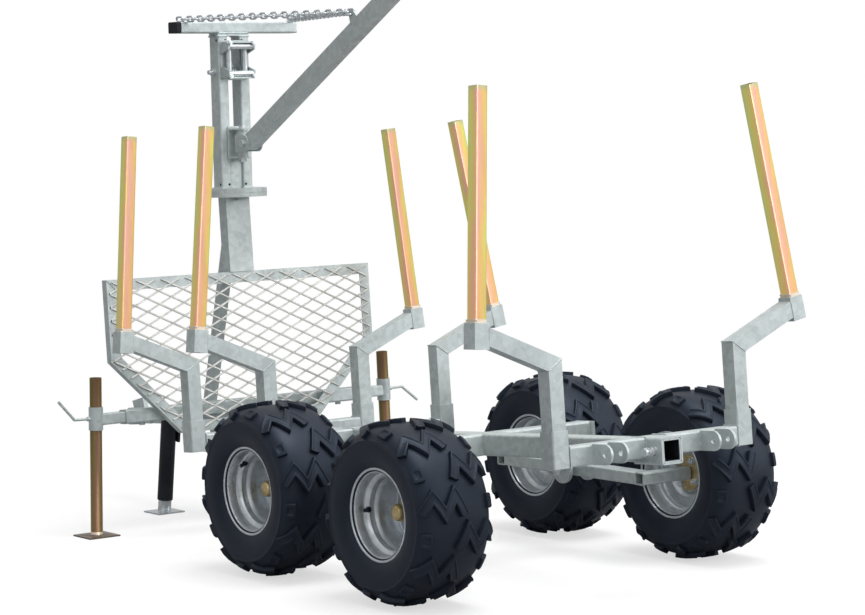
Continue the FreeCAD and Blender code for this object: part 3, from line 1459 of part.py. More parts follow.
def outrigger_arm(side, sign):
    """A square tube that slides in the carrier, with a collar for the leg and a clamp handle."""
    extra = further_out(sign)
    arm = new_body(f"outrigger_tube_{side}", FRAME)
    arm_end = f"dim.leg_y + {extra} - {COLLAR_RADIUS} + dim.collar_weld"
    pad(arm, "XZ", *span(sign, f"dim.outrigger_arm_inner_y + {extra}", arm_end),
        *tube_profile("dim.carrier_x", CARRIER_HEIGHT, "dim.outrigger_arm_width",
                      "dim.outrigger_arm_width", "dim.outrigger_arm_wall", "dim.outrigger_arm_corner"))
    collar = new_body(f"outrigger_collar_{side}", leg_place(sign))
    centre, half = "dim.collar_height", "dim.collar_length / 2"
    pad(collar, "XY", f"{centre} - {half}", f"{centre} + {half}", circle("0", "0", COLLAR_RADIUS))
    pad(collar, "XZ", *span(sign, "0", f"{COLLAR_RADIUS} + dim.handle_nut"),
        hexagon("0", centre, across_flats("dim.handle_diameter")))
    fuse = doc.addObject("Part::MultiFuse", f"outrigger_arm_{side}_solid")
    fuse.Shapes = [arm, collar] + clamp_handle(side, sign)
    fuse.Refine = True
    bore = doc.addObject("Part::Cylinder", f"outrigger_bore_{side}")
    bore.setExpression("Radius", "dim.leg_diameter / 2 + dim.running_clearance")
    bore.setExpression("Height", "dim.leg_length")
    bore.setExpression("Placement", leg_place(sign))
    arm_cut = doc.addObject("Part::Cut", f"outrigger_arm_{side}")
    arm_cut.Base = fuse
    arm_cut.Tool = bore
    keep(f"outrigger_arm_{side}", arm_cut)


def outrigger_leg(side, sign):
    """A round tube on a flat square foot."""
    tube = doc.addObject("Part::Cylinder", f"leg_tube_{side}")
    bore = doc.addObject("Part::Cylinder", f"leg_bore_{side}")
    tube.setExpression("Radius", "dim.leg_diameter / 2")
    bore.setExpression("Radius", "dim.leg_diameter / 2 - dim.leg_wall")
    tube_start = "dim.foot_thickness - dim.foot_weld"
    for cylinder, start in ((tube, tube_start), (bore, f"{tube_start} - dim.foot_weld")):
        cylinder.setExpression("Height", f"dim.leg_length - ({start})")
        cylinder.setExpression("Placement", f"{leg_place(sign)} * {moved('0', '0', start)}")
    hollow = doc.addObject("Part::Cut", f"leg_hollow_{side}")
    hollow.Base = tube
    hollow.Tool = bore
    foot = doc.addObject("Part::Box", f"leg_foot_{side}")
    foot.setExpression("Length", "dim.foot_width")
    foot.setExpression("Width", "dim.foot_width")
    foot.setExpression("Height", "dim.foot_thickness")
    foot.setExpression("Placement.Base.x", "dim.leg_x - dim.foot_width / 2")
    foot_y = on_side(sign, f"dim.leg_y + {further_out(sign)}")
    foot.setExpression("Placement.Base.y", f"{foot_y} - dim.foot_width / 2")
    leg = doc.addObject("Part::Fuse", f"outrigger_leg_{side}")
    leg.Base = hollow
    leg.Tool = foot
    keep(f"outrigger_leg_{side}", leg)


# ---------------------------------------------------------------- prop stand
PROP_FACE = "(dim.prop_tube_diameter / 2 + dim.prop_plate + dim.prop_side_gap)"


def prop_bracket():
    """An arm out from the drawbar's side to the plate that carries the stand's pivot bolt."""
    body = new_body("prop_bracket", FRAME)
    x = ("(dim.prop_pivot_x * cos(dim.nose_down_deg)"
         " - (dim.prop_pivot_height - dim.axle_height) * sin(dim.nose_down_deg))")
    z = ("(dim.prop_pivot_x * sin(dim.nose_down_deg)"
         " + (dim.prop_pivot_height - dim.axle_height) * cos(dim.nose_down_deg) + dim.axle_height)")
    face = f"(dim.prop_y - {PROP_FACE})"
    radius = "dim.prop_plate_radius"
    pad(body, "XZ", "dim.drawbar_width / 2", f"{face} - dim.prop_plate",
        *tube_profile(x, z, "dim.prop_arm_width", "dim.prop_arm_width", "dim.prop_arm_wall",
                      "dim.prop_arm_wall"))
    outline = [
        (f"{x} - {radius}", z, radius),
        (x, f"{z} - {radius}"),
        (f"{x} + dim.prop_plate_shoulder", f"{z} - dim.prop_plate_shoulder", "dim.prop_chin_radius"),
        (f"{x} + dim.prop_plate_nose", f"{z} - dim.prop_nose_drop"),
        (f"{x} + dim.prop_plate_shoulder", f"{z} + dim.prop_plate_rise"),
        (x, f"{z} + {radius}", radius),
    ]
    pad(body, "XZ", f"{face} - dim.prop_plate", face, outline, circle(x, z, "dim.prop_bolt_diameter / 2"))
    keep("prop_bracket", body)


def prop_stand():
    """A round tube with an ear on its side, which turns on the bracket's bolt."""
    body = new_body("prop_tube", PROP_PLACE)
    radius = "dim.prop_tube_diameter / 2"
    ear = "dim.prop_ear_radius"
    pad(body, "XY", "-dim.prop_tube_length", "dim.prop_tube_above",
        circle("0", "0", radius), circle("0", "0", f"{radius} - dim.prop_tube_wall"))
    pad(body, "XZ", f"-({radius} + dim.prop_plate)", f"-{radius} + dim.prop_ear_weld",
        [(f"-{ear}", "-dim.prop_ear_length"), (ear, "-dim.prop_ear_length"), (ear, "0", ear),
         ("0", ear, ear), (f"-{ear}", "0")],
        circle("0", "0", "dim.prop_bolt_diameter / 2 + dim.running_clearance"))
    keep("prop_tube", body)
    leg = new_body("prop_leg_tube", PROP_PLACE)
    inner = "(dim.prop_leg_diameter / 2)"
    foot_drop = "(dim.prop_pivot_height / cos(dim.prop_lean_deg))"
    pad(leg, "XY", f"-{foot_drop} + dim.foot_thickness", "-dim.prop_leg_top",
        circle("0", "0", inner), circle("0", "0", f"{inner} - dim.prop_leg_wall"))
    foot = doc.addObject("Part::Box", "prop_foot_plate")
    foot.setExpression("Length", "dim.prop_foot_width")
    foot.setExpression("Width", "dim.prop_foot_width")
    foot.setExpression("Height", "dim.foot_thickness")
    foot_x = "dim.prop_pivot_x + dim.prop_pivot_height * tan(dim.prop_lean_deg)"
    foot.setExpression("Placement.Base.x", f"{foot_x} - dim.prop_foot_width / 2")
    foot.setExpression("Placement.Base.y", "dim.prop_y - dim.prop_foot_width / 2")
    whole = doc.addObject("Part::Fuse", "prop_leg")
    whole.Base = leg
    whole.Tool = foot
    keep("prop_leg", whole)
    bolt = new_body("prop_bolt", PROP_PLACE)
    size = "dim.prop_bolt_diameter"
    face = f"(-{PROP_FACE} - dim.prop_plate)"
    pad(bolt, "XZ", face, f"-{radius} - dim.prop_side_gap", circle("0", "0", f"{size} / 2"))
    pad(bolt, "XZ", f"{face} - {head_height(size)}", face, hexagon("0", "0", across_flats(size)))
    keep("prop_bolt", bolt)


# ---------------------------------------------------------------- coupling
def tow_coupling():
    """A ball coupling: a channel over the drawbar's end and a round head with the ball's seat."""
    body = new_body("tow_coupling", FRAME)
    wall = "dim.coupling_wall"
    half = "(dim.drawbar_width / 2)"
    seat = "(dim.ball_radius + dim.ball_clearance)"
    top = f"{DRAWBAR_TOP} + {wall}"
    foot = f"{BEAM_TOP} - dim.coupling_skirt"
    below = f"{foot} - dim.side_clearance"
    ball_height = f"({foot} + dim.seat_depth)"
    inner = f"{half} + dim.slide_clearance"
    pad(body, "YZ", "dim.coupling_rear_x", "dim.ball_x",
        rectangle(f"-{half} - {wall}", f"{half} + {wall}", BEAM_TOP, top))
    pad(body, "XY", foot, top, circle("dim.ball_x", "0", f"{half} + {wall}"))
    cut(body, "YZ", "dim.coupling_rear_x - dim.side_clearance",
        "dim.drawbar_front_x + dim.coupling_end_gap",
        rectangle(f"-({inner})", inner, below, f"{DRAWBAR_TOP} + dim.slide_clearance"))
    cut(body, "XY", below, ball_height, circle("dim.ball_x", "0", seat))
    sketch = sketch_on(body, "XZ", "0", [[
        ("dim.ball_x", ball_height), (f"dim.ball_x + {seat}", ball_height, seat),
        ("dim.ball_x", f"{ball_height} + {seat}")]])
    groove = body.newObject("PartDesign::Groove", "coupling_seat")
    axis_foot = FreeCAD.Vector(value("dim.ball_x"), 0, 0)
    axis_head = FreeCAD.Vector(value("dim.ball_x"), value("dim.ball_radius"), 0)
    line = sketch.addGeometry(Part.LineSegment(axis_foot, axis_head), True)
    bind(sketch, "DistanceX", line, 1, axis_foot.x, "dim.ball_x")
    bind(sketch, "DistanceX", line, 2, axis_head.x, "dim.ball_x")
    groove.Profile = sketch
    groove.ReferenceAxis = (sketch, ["Axis0"])
    groove.Angle = 360
    pad(body, "XZ", "-dim.latch_width / 2", "dim.latch_width / 2",
        [("dim.ball_x - dim.latch_rear", top), ("dim.ball_x + dim.latch_front", top),
         ("dim.ball_x + dim.latch_front + dim.latch_rake", f"{top} + dim.latch_low"),
         ("dim.ball_x - dim.latch_rear + dim.latch_rake", f"{top} + dim.latch_high")])
    keep("tow_coupling", body)


# ---------------------------------------------------------------- build
def build():
    main_beam()
    drawbar()
    bogie_cross_tube()
    hanger_plates()
    pivot_bolts()
    walking_beam("left", "0")
    walking_beam("right", "180")
    wheels()
    for name in ("front", "middle", "rear"):
        bunk_beam(name)
        bunk_arms(name)
        stakes(name)
    rear_lugs()
    headboard_frame()
    headboard_mesh()
    crane_lower_mast()
    crane_strut()
    slew_base()
    crane_upper_mast()
    top_beam()
    hinge_bracket()
    knuckle()
    hinge_bolts()
    fairlead()
    mast_pulley()
    boom()
    boom_sheave()
    chain_shackle()
    stay_chains()
    outrigger_carrier()
    for side, sign in (("left", 1), ("right", -1)):
        outrigger_arm(side, sign)
        outrigger_leg(side, sign)
    prop_bracket()
    prop_stand()
    tow_coupling()


def check():
    """Every object has come out whole, and every cut has taken something away."""
    faults = []
    for thing in doc.Objects:
        if any(state in ("Invalid", "Error") for state in thing.State):
            faults.append(f"{thing.Name}: {thing.State}")
        if thing.TypeId in ("PartDesign::Pocket", "PartDesign::Groove"):
            if thing.BaseFeature and thing.Shape.Volume > thing.BaseFeature.Shape.Volume - 1:
                faults.append(f"{thing.Name} cuts nothing")
    for label, piece in nodes.items():
        if piece.Shape.isNull() or not piece.Shape.isValid() or not piece.Shape.Solids:
            faults.append(f"{label} has no valid solid")
    if faults:
        raise RuntimeError("; ".join(faults))


def write():
    os.makedirs("parts", exist_ok=True)
    for label, piece in nodes.items():
        piece.Shape.exportStep(f"parts/{label}.step")


build()
doc.recompute()
check()
write()
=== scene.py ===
"""Looks of the forestry trailer: finishes, treaded tyres, rims, mesh, chains, welds and bolts.

Metres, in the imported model's own frame: +X forward, +Y left, +Z up, with the origin on the ground
under the middle of the length. The frame stands nose down, so places on it are given level and
tilted by level().
"""

import json
import math

import bmesh
import bpy
import numpy as np
from mathutils import Matrix, Vector

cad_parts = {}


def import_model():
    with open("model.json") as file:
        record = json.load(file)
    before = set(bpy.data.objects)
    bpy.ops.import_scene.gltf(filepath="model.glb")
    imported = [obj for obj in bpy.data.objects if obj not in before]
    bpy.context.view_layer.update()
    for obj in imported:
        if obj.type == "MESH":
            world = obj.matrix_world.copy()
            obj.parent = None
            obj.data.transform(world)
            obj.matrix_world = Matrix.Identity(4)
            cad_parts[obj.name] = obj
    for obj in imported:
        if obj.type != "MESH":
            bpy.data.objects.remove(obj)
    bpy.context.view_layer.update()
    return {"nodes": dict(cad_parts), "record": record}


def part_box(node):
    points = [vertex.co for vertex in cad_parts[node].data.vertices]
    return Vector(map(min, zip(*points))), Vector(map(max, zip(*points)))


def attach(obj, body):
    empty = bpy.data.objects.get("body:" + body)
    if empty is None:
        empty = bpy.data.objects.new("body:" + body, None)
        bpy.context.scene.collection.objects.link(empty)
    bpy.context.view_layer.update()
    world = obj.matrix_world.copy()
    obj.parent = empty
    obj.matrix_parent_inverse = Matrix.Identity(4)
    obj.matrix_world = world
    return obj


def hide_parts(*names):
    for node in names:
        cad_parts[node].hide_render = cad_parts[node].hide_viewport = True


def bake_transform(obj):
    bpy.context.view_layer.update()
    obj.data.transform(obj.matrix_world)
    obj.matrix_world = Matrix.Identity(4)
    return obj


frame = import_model()

SIDES = (("left", 1), ("right", -1))
BUNKS = ("front", "middle", "rear")
MIDDLE = 0.666
AXLE_HEIGHT = 0.276
NOSE_DOWN = math.radians(3.7)
TILT = Matrix.Translation((-MIDDLE, 0, AXLE_HEIGHT)) @ Matrix.Rotation(NOSE_DOWN, 4, "Y")
LEVEL_TO_STANDING = TILT @ Matrix.Translation((0, 0, -AXLE_HEIGHT))


def level(x, y, z):
    """A place on the frame, given level from the ground midway between the wheels."""
    return TILT @ Vector((x, y, z - AXLE_HEIGHT))


def upright(x, y, z):
    """A place on the crane or the wheels, which stand square to the ground."""
    return Vector((x - MIDDLE, y, z))


# ---------------------------------------------------------------- camera, floor and light
def in_scene(name, data):
    """An object that shows the data in the scene."""
    thing = bpy.data.objects.new(name, data)
    bpy.context.scene.collection.objects.link(thing)
    return thing


CAMERA_PLACE = Vector((-6.4918 - MIDDLE, 5.0501, 1.4446))
CAMERA_YAW_PITCH_ROLL = (-36.7561, -4.2801, -1.4524)


def camera():
    """A long lens from behind and to the left, about as high as the stakes' tops."""
    yaw, pitch, roll = (math.radians(angle) for angle in CAMERA_YAW_PITCH_ROLL)
    ahead = Vector(
        (math.cos(pitch) * math.cos(yaw), math.cos(pitch) * math.sin(yaw), math.sin(pitch))
    )
    across = Vector((math.sin(yaw), -math.cos(yaw), 0))
    above = across.cross(ahead)
    right = math.cos(roll) * across + math.sin(roll) * above
    up = -math.sin(roll) * across + math.cos(roll) * above
    lens = bpy.data.cameras.new("camera")
    lens.sensor_width = 36
    lens.lens = 108.28
    lens.clip_end = 200
    eye = in_scene("camera", lens)
    turn = Matrix((right, up, -ahead)).transposed().to_4x4()
    eye.matrix_world = Matrix.Translation(CAMERA_PLACE) @ turn
    bpy.context.scene.camera = eye


def new_material(name):
    """A material with its node tree emptied but for the output."""
    finish = bpy.data.materials.new(name)
    finish.use_nodes = True
    finish.node_tree.nodes.clear()
    return finish, finish.node_tree, finish.node_tree.nodes.new("ShaderNodeOutputMaterial")


def feed(tree, node, values):
    """Each input, by name or number, is linked to another node's output or set to a constant."""
    for label, value in values.items():
        socket = node.inputs[label]
        if isinstance(value, bpy.types.NodeSocket):
            tree.links.new(value, socket)
        elif socket.type == "RGBA" and len(value) == 3:
            socket.default_value = (*value, 1)
        else:
            socket.default_value = value


def add_node(tree, kind, values=(), **settings):
    """A node with its settings and its inputs' values."""
    node = tree.nodes.new(kind)
    for label, value in settings.items():
        setattr(node, label, value)
    feed(tree, node, dict(values))
    return node


def math_node(tree, operation, first, second):
    values = {0: first, 1: second}
    return add_node(tree, "ShaderNodeMath", values, operation=operation).outputs[0]


def floor():
    """A white floor that keeps the soft shadow near the object and melts into the backdrop."""
    finish, tree, output = new_material("pale_floor")
    direct = add_node(tree, "ShaderNodeLightPath").outputs["Is Camera Ray"]
    matt = add_node(
        tree, "ShaderNodeBsdfDiffuse", {"Color": mix_colour(tree, direct, FLOOR_BOUNCE, FLOOR_SEEN)}
    )
    glow = add_node(tree, "ShaderNodeEmission", {"Color": (1, 1, 1)})
    away = add_node(tree, "ShaderNodeVectorMath", {0: object_vector(tree)}, operation="LENGTH")
    fade = spread(tree, away.outputs["Value"], *FLOOR_FADE, FLOOR_GLOW, 1.0)
    share = math_node(tree, "MULTIPLY", direct, fade)
    mix = add_node(tree, "ShaderNodeMixShader", {0: share, 1: matt.outputs[0], 2: glow.outputs[0]})
    feed(tree, output, {"Surface": mix.outputs[0]})
    size = 30
    corners = [(-size, -size, 0), (size, -size, 0), (size, size, 0), (-size, size, 0)]
    mesh = plain_mesh("floor", corners, [(0, 1, 2, 3)])
    mesh.materials.append(finish)
    in_scene("floor", mesh)


FLOOR_GLOW = 0.62
FLOOR_SEEN = (0.9, 0.9, 0.9)
FLOOR_FADE = (1.6, 3.4)
FLOOR_BOUNCE = (0.34, 0.34, 0.35)


def world():
    """White to the eye, and a soft room as light: brighter above and behind, dimmer on the left."""
    surroundings = bpy.data.worlds.new("studio")
    bpy.context.scene.world = surroundings
    surroundings.use_nodes = True
    tree = surroundings.node_tree
    place = add_node(tree, "ShaderNodeTexCoord").outputs["Generated"]
    way = add_node(tree, "ShaderNodeSeparateXYZ", {0: place}).outputs
    above = spread(tree, way["Z"], -0.1, 0.7, 0.0, 0.5)
    behind = spread(tree, way["X"], 0.4, -0.9, 0.0, 0.34)
    side = spread(tree, way["Y"], 0.1, 1.0, 0.0, -0.24)
    high = math_node(tree, "ADD", above, behind)
    room = math_node(tree, "ADD", high, math_node(tree, "ADD", side, 0.34))
    seen = add_node(tree, "ShaderNodeLightPath").outputs
    direct = math_node(tree, "MAXIMUM", seen["Is Camera Ray"], seen["Is Transmission Ray"])
    strength = add_node(tree, "ShaderNodeMix", {0: direct, 2: room, 3: 1.0})
    feed(tree, tree.nodes["Background"], {"Color": (1, 1, 1), "Strength": strength.outputs[0]})


def lamp(name, place, aim, size, power):
    light = bpy.data.lights.new(name, "AREA")
    light.shape = "SQUARE"
    light.size = size
    light.energy = power
    source = in_scene(name, light)
    source.location = place
    source.rotation_euler = (Vector(aim) - Vector(place)).to_track_quat("-Z", "Y").to_euler()


def studio():
    bpy.context.scene.view_settings.view_transform = "Standard"
    world()
    floor()
    lamp("overhead", (-2.2, -0.8, 8.0), (-0.2, 0, 0.5), 4.5, 450)
    lamp("behind", (-7.8, -6.4, 4.4), (-0.6, 0, 0.5), 7.0, 330)
    lamp("left_fill", (-2.5, 7.5, 3.2), (-0.2, 0, 0.6), 3.0, 24)


# ---------------------------------------------------------------- shader helpers
def new_group(name, inputs, outputs):
    """A shader node group with named sockets, and its own input and output nodes."""
    group = bpy.data.node_groups.new(name, "ShaderNodeTree")
    for label, kind, start in inputs:
        socket = group.interface.new_socket(label, in_out="INPUT", socket_type=kind)
        if start is not None:
            socket.default_value = start
    for label, kind in outputs:
        group.interface.new_socket(label, in_out="OUTPUT", socket_type=kind)
    return group, group.nodes.new("NodeGroupInput"), group.nodes.new("NodeGroupOutput")


def ramp_node(nodes, stops):
    """A colour ramp with the given places and colours."""
    ramp = nodes.new("ShaderNodeValToRGB")
    elements = ramp.color_ramp.elements
    while len(elements) < len(stops):
        elements.new(0.5)
    for element, (place, colour) in zip(elements, stops):
        element.position = place
        element.color = (*colour, 1)
    return ramp


def noise(tree, vector, scale, detail=3.0, roughness=0.55, distortion=0.0):
    values = {"Vector": vector, "Scale": scale, "Detail": detail}
    values |= {"Roughness": roughness, "Distortion": distortion}
    return add_node(tree, "ShaderNodeTexNoise", values).outputs["Fac"]


def spread(tree, value, low, high, to_low, to_high):
    """Map Range from one interval to another, clamped."""
    values = {"Value": value, "From Min": low, "From Max": high}
    values |= {"To Min": to_low, "To Max": to_high}
    return add_node(tree, "ShaderNodeMapRange", values).outputs["Result"]


def mix_colour(tree, fac, first, second, kind="MIX"):
    values = {0: fac, 6: first, 7: second}
    return add_node(tree, "ShaderNodeMix", values, data_type="RGBA", blend_type=kind).outputs[2]


def object_vector(tree):
    return add_node(tree, "ShaderNodeTexCoord").outputs["Object"]


def principled(tree, output, values):
    """A Principled BSDF with the given values, wired to the output."""
    shader = add_node(tree, "ShaderNodeBsdfPrincipled", values)
    feed(tree, output, {"Surface": shader.outputs[0]})
    return shader


def bump(tree, shader, height, strength, distance):
    values = {"Strength": strength, "Distance": distance, "Height": height}
    feed(tree, shader, {"Normal": add_node(tree, "ShaderNodeBump", values).outputs["Normal"]})


# ---------------------------------------------------------------- shared surface effects
def zinc_bloom_group():
    """Dull blotches, crystals and fine grain in a zinc coat, as colour, roughness and height."""
    group, given, out = new_group(
        "zinc_bloom",
        [
            ("Vector", "NodeSocketVector", None),
            ("Bright", "NodeSocketColor", (0.7, 0.71, 0.7, 1)),
            ("Dull", "NodeSocketColor", (0.5, 0.52, 0.5, 1)),
            ("Blotch Scale", "NodeSocketFloat", 7.0),
            ("Roughness", "NodeSocketFloat", 0.4),
        ],
        [
            ("Color", "NodeSocketColor"),
            ("Roughness", "NodeSocketFloat"),
            ("Height", "NodeSocketFloat"),
        ],
    )
    given = given.outputs
    blotch = noise(group, given["Vector"], given["Blotch Scale"], 5, 0.62, 0.4)
    grain = noise(group, given["Vector"], 420, detail=2)
    crystals = add_node(group, "ShaderNodeTexVoronoi", {"Scale": 60, "Vector": given["Vector"]})
    patch = spread(group, blotch, 0.34, 0.68, 0.0, 1.0)
    coat = mix_colour(group, patch, given["Dull"], given["Bright"])
    tone = add_node(group, "ShaderNodeRGBToBW", {0: crystals.outputs["Color"]})
    facet = spread(group, tone.outputs[0], 0.2, 0.8, 0.9, 1.06)
    shaded = add_node(group, "ShaderNodeVectorMath", {0: coat, "Scale": facet}, operation="SCALE")
    change = spread(group, blotch, 0.3, 0.7, 0.09, -0.06)
    height = add_node(
        group, "ShaderNodeMath", {0: grain, 1: 0.25, 2: blotch}, operation="MULTIPLY_ADD"
    )
    feed(group, out, {
        "Color": shaded.outputs[0],
        "Roughness": math_node(group, "ADD", given["Roughness"], change),
        "Height": height.outputs[0],
    })
    return group


def road_dust_group():
    """A thin film of dust that gathers low down: how much of it lies at a place."""
    group, given, out = new_group(
        "road_dust",
        [("Vector", "NodeSocketVector", None), ("Reach", "NodeSocketFloat", 0.3)],
        [("Dust", "NodeSocketFloat")],
    )
    vector = given.outputs["Vector"]
    place = add_node(group, "ShaderNodeSeparateXYZ", {0: vector})
    low = math_node(group, "DIVIDE", place.outputs["Z"], given.outputs["Reach"])
    fade = spread(group, low, 0.0, 1.0, 1.0, 0.0)
    cloud = spread(group, noise(group, vector, 18, detail=5), 0.4, 0.7, 0.0, 1.0)
    feed(group, out, {"Dust": math_node(group, "MULTIPLY", fade, cloud)})
    return group


GROUPS = {"zinc_bloom": zinc_bloom_group(), "road_dust": road_dust_group()}


def use_group(tree, name, values):
    """The named shader group placed in a material, with its own values."""
    return add_node(tree, "ShaderNodeGroup", values, node_tree=GROUPS[name]).outputs


# ---------------------------------------------------------------- finishes
def zinc(name, bright, dull, roughness, metallic, blotch_scale=7.0, grain=0.0004):
    """Zinc-coated steel."""
    finish, tree, output = new_material(name)
    values = {"Vector": object_vector(tree), "Bright": bright, "Dull": dull}
    values |= {"Blotch Scale": blotch_scale, "Roughness": roughness}
    bloom = use_group(tree, "zinc_bloom", values)
    coat = {"Metallic": metallic, "Base Color": bloom["Color"], "Roughness": bloom["Roughness"]}
    bump(tree, principled(tree, output, coat), bloom["Height"], 0.35, grain)
    return finish


def chromate_tube(name, shade):
    """Yellow chromate: rose at the corner that faces rear left, then gold and yellow-green."""
    finish, tree, output = new_material(name)
    vector = object_vector(tree)
    where = add_node(tree, "ShaderNodeAttribute", attribute_name="tube_place")
    place = add_node(tree, "ShaderNodeSeparateXYZ", {0: where.outputs["Vector"]}).outputs
    streaks = add_node(tree, "ShaderNodeMapping", {"Scale": (60, 60, 1.4), "Vector": vector})
    drift = noise(tree, streaks.outputs["Vector"], 1.0, distortion=0.3)
    slow = noise(tree, vector, 2.6, detail=2)
    across = math_node(tree, "ADD", place["X"], place["Y"])
    band = math_node(tree, "MULTIPLY", across, CHROMATE_TURN)
    band = math_node(tree, "ADD", band, spread(tree, drift, 0.3, 0.7, 0.42, 0.58))
    band = math_node(tree, "ADD", band, spread(tree, slow, 0.35, 0.65, -0.13, 0.13))
    ramp = ramp_node(tree.nodes, CHROMATE_BANDS)
    feed(tree, ramp, {"Fac": band})
    red = spread(tree, place["Z"], 0.30, 0.0, 0.0, 0.4)
    coat = mix_colour(tree, red, ramp.outputs["Color"], (0.66, 0.34, 0.15))
    coat = mix_colour(tree, 1.0, coat, shade, "MULTIPLY")
    for clean, marked, most, colour in TUBE_MARKS:
        coat = mix_colour(tree, spread(tree, place["Z"], clean, marked, 0.0, most), coat, colour)
    roughness = spread(tree, drift, 0.3, 0.7, 0.3, 0.42)
    values = {"Metallic": 0.4, "Base Color": coat, "Roughness": roughness}
    bump(tree, principled(tree, output, values), noise(tree, vector, 300), 0.2, 0.0002)
    return finish


CHROMATE_TURN = -11.5
TUBE_MARKS = [
    (0.650, 0.664, 0.75, (0.36, 0.40, 0.20)),
    (0.0125, 0.0100, 0.8, (0.78, 0.66, 0.52)),
    (0.0030, 0.0015, 0.9, (0.10, 0.07, 0.05)),
]
CHROMATE_BANDS = [
    (0.00, (0.42, 0.48, 0.16)),
    (0.16, (0.52, 0.49, 0.12)),
    (0.34, (0.56, 0.43, 0.12)),
    (0.46, (0.60, 0.34, 0.20)),
    (0.60, (0.60, 0.31, 0.24)),
    (0.72, (0.60, 0.34, 0.17)),
    (0.84, (0.60, 0.39, 0.11)),
    (1.00, (0.48, 0.50, 0.11)),
]


def brass_zinc():
    """Yellow passivated hub: dull brass with brown blotches."""
    finish, tree, output = new_material("yellow_zinc_hub")
    vector = object_vector(tree)
    blotch = noise(tree, vector, 38, detail=4)
    patch = spread(tree, blotch, 0.35, 0.65, 0, 1)
    coat = mix_colour(tree, patch, (0.40, 0.29, 0.12), (0.66, 0.54, 0.30))
    roughness = spread(tree, blotch, 0.3, 0.7, 0.42, 0.28)
    values = {"Metallic": 0.75, "Base Color": coat, "Roughness": roughness}
    bump(tree, principled(tree, output, values), noise(tree, vector, 320), 0.25, 0.0003)
    return finish


def rubber():
    """Moulded blue-black rubber with a fine pebble, a waxy bloom and a little dust."""
    finish, tree, output = new_material("tyre_rubber")
    vector = object_vector(tree)
    bloom = noise(tree, vector, 7.0, detail=5)
    dust = use_group(tree, "road_dust", {"Vector": vector, "Reach": 0.5})["Dust"]
    waxy = spread(tree, bloom, 0.35, 0.7, 0.0, 1.0)
    coat = mix_colour(tree, waxy, (0.006, 0.008, 0.014), (0.010, 0.013, 0.022))
    coat = mix_colour(tree, spread(tree, dust, 0.0, 1.0, 0.0, 0.12), coat, (0.03, 0.032, 0.038))
    values = {"Base Color": coat, "Roughness": spread(tree, bloom, 0.3, 0.7, 0.44, 0.56)}
    values |= {"Metallic": 0.0, "Specular IOR Level": 0.36, "Specular Tint": (0.62, 0.78, 1.0)}
    shader = principled(tree, output, values)
    bump(tree, shader, noise(tree, vector, 520, detail=2), 0.25, 0.0004)
    return finish


def painted(name, colour, roughness, coat=0.0):
    """Satin paint with a slight orange peel."""
    finish, tree, output = new_material(name)
    vector = object_vector(tree)
    wear = noise(tree, vector, 14.0, detail=4)
    pale = tuple(min(1, channel * 1.5 + 0.01) for channel in colour)
    worn = mix_colour(tree, spread(tree, wear, 0.4, 0.75, 0.0, 1.0), colour, pale)
    dulled = spread(tree, wear, 0.3, 0.7, roughness, roughness + 0.12)
    values = {"Base Color": worn, "Roughness": dulled, "Metallic": 0.0}
    values |= {"Specular IOR Level": 0.25, "Coat Weight": coat, "Coat Roughness": 0.2}
    shader = principled(tree, output, values)
    bump(tree, shader, noise(tree, vector, 180, detail=2), 0.15, 0.0003)
    return finish


FINISHES = {
    "galvanised_steel": zinc(
        "galvanised_steel", (0.50, 0.555, 0.555), (0.44, 0.49, 0.49), 0.44, 0.4
    ),
    "galvanised_mesh": zinc(
        "galvanised_mesh", (0.52, 0.53, 0.51), (0.40, 0.40, 0.38), 0.42, 0.5, 16.0
    ),
    "zinc_rim": zinc("zinc_rim", (0.60, 0.64, 0.67), (0.54, 0.58, 0.61), 0.30, 0.7, 3.0, 0.0001),
    "bright_zinc": zinc(
        "bright_zinc", (0.68, 0.72, 0.74), (0.58, 0.62, 0.64), 0.27, 0.75, 9.0, 0.0001
    ),
    "yellow_chromate_tube": chromate_tube("yellow_chromate_tube", (1, 1, 1)),
    # the outrigger legs: the same chromate bands multiplied by a dark olive colour, darker all over
    # than the stakes
    "aged_chromate_tube": chromate_tube("aged_chromate_tube", (0.29, 0.29, 0.22)),
    "yellow_zinc_hub": brass_zinc(),
    "tyre_rubber": rubber(),
    "black_plastic": painted("black_plastic", (0.006, 0.007, 0.012), 0.5),
    "black_paint": painted("black_paint", (0.004, 0.005, 0.010), 0.42, 0.1),
}


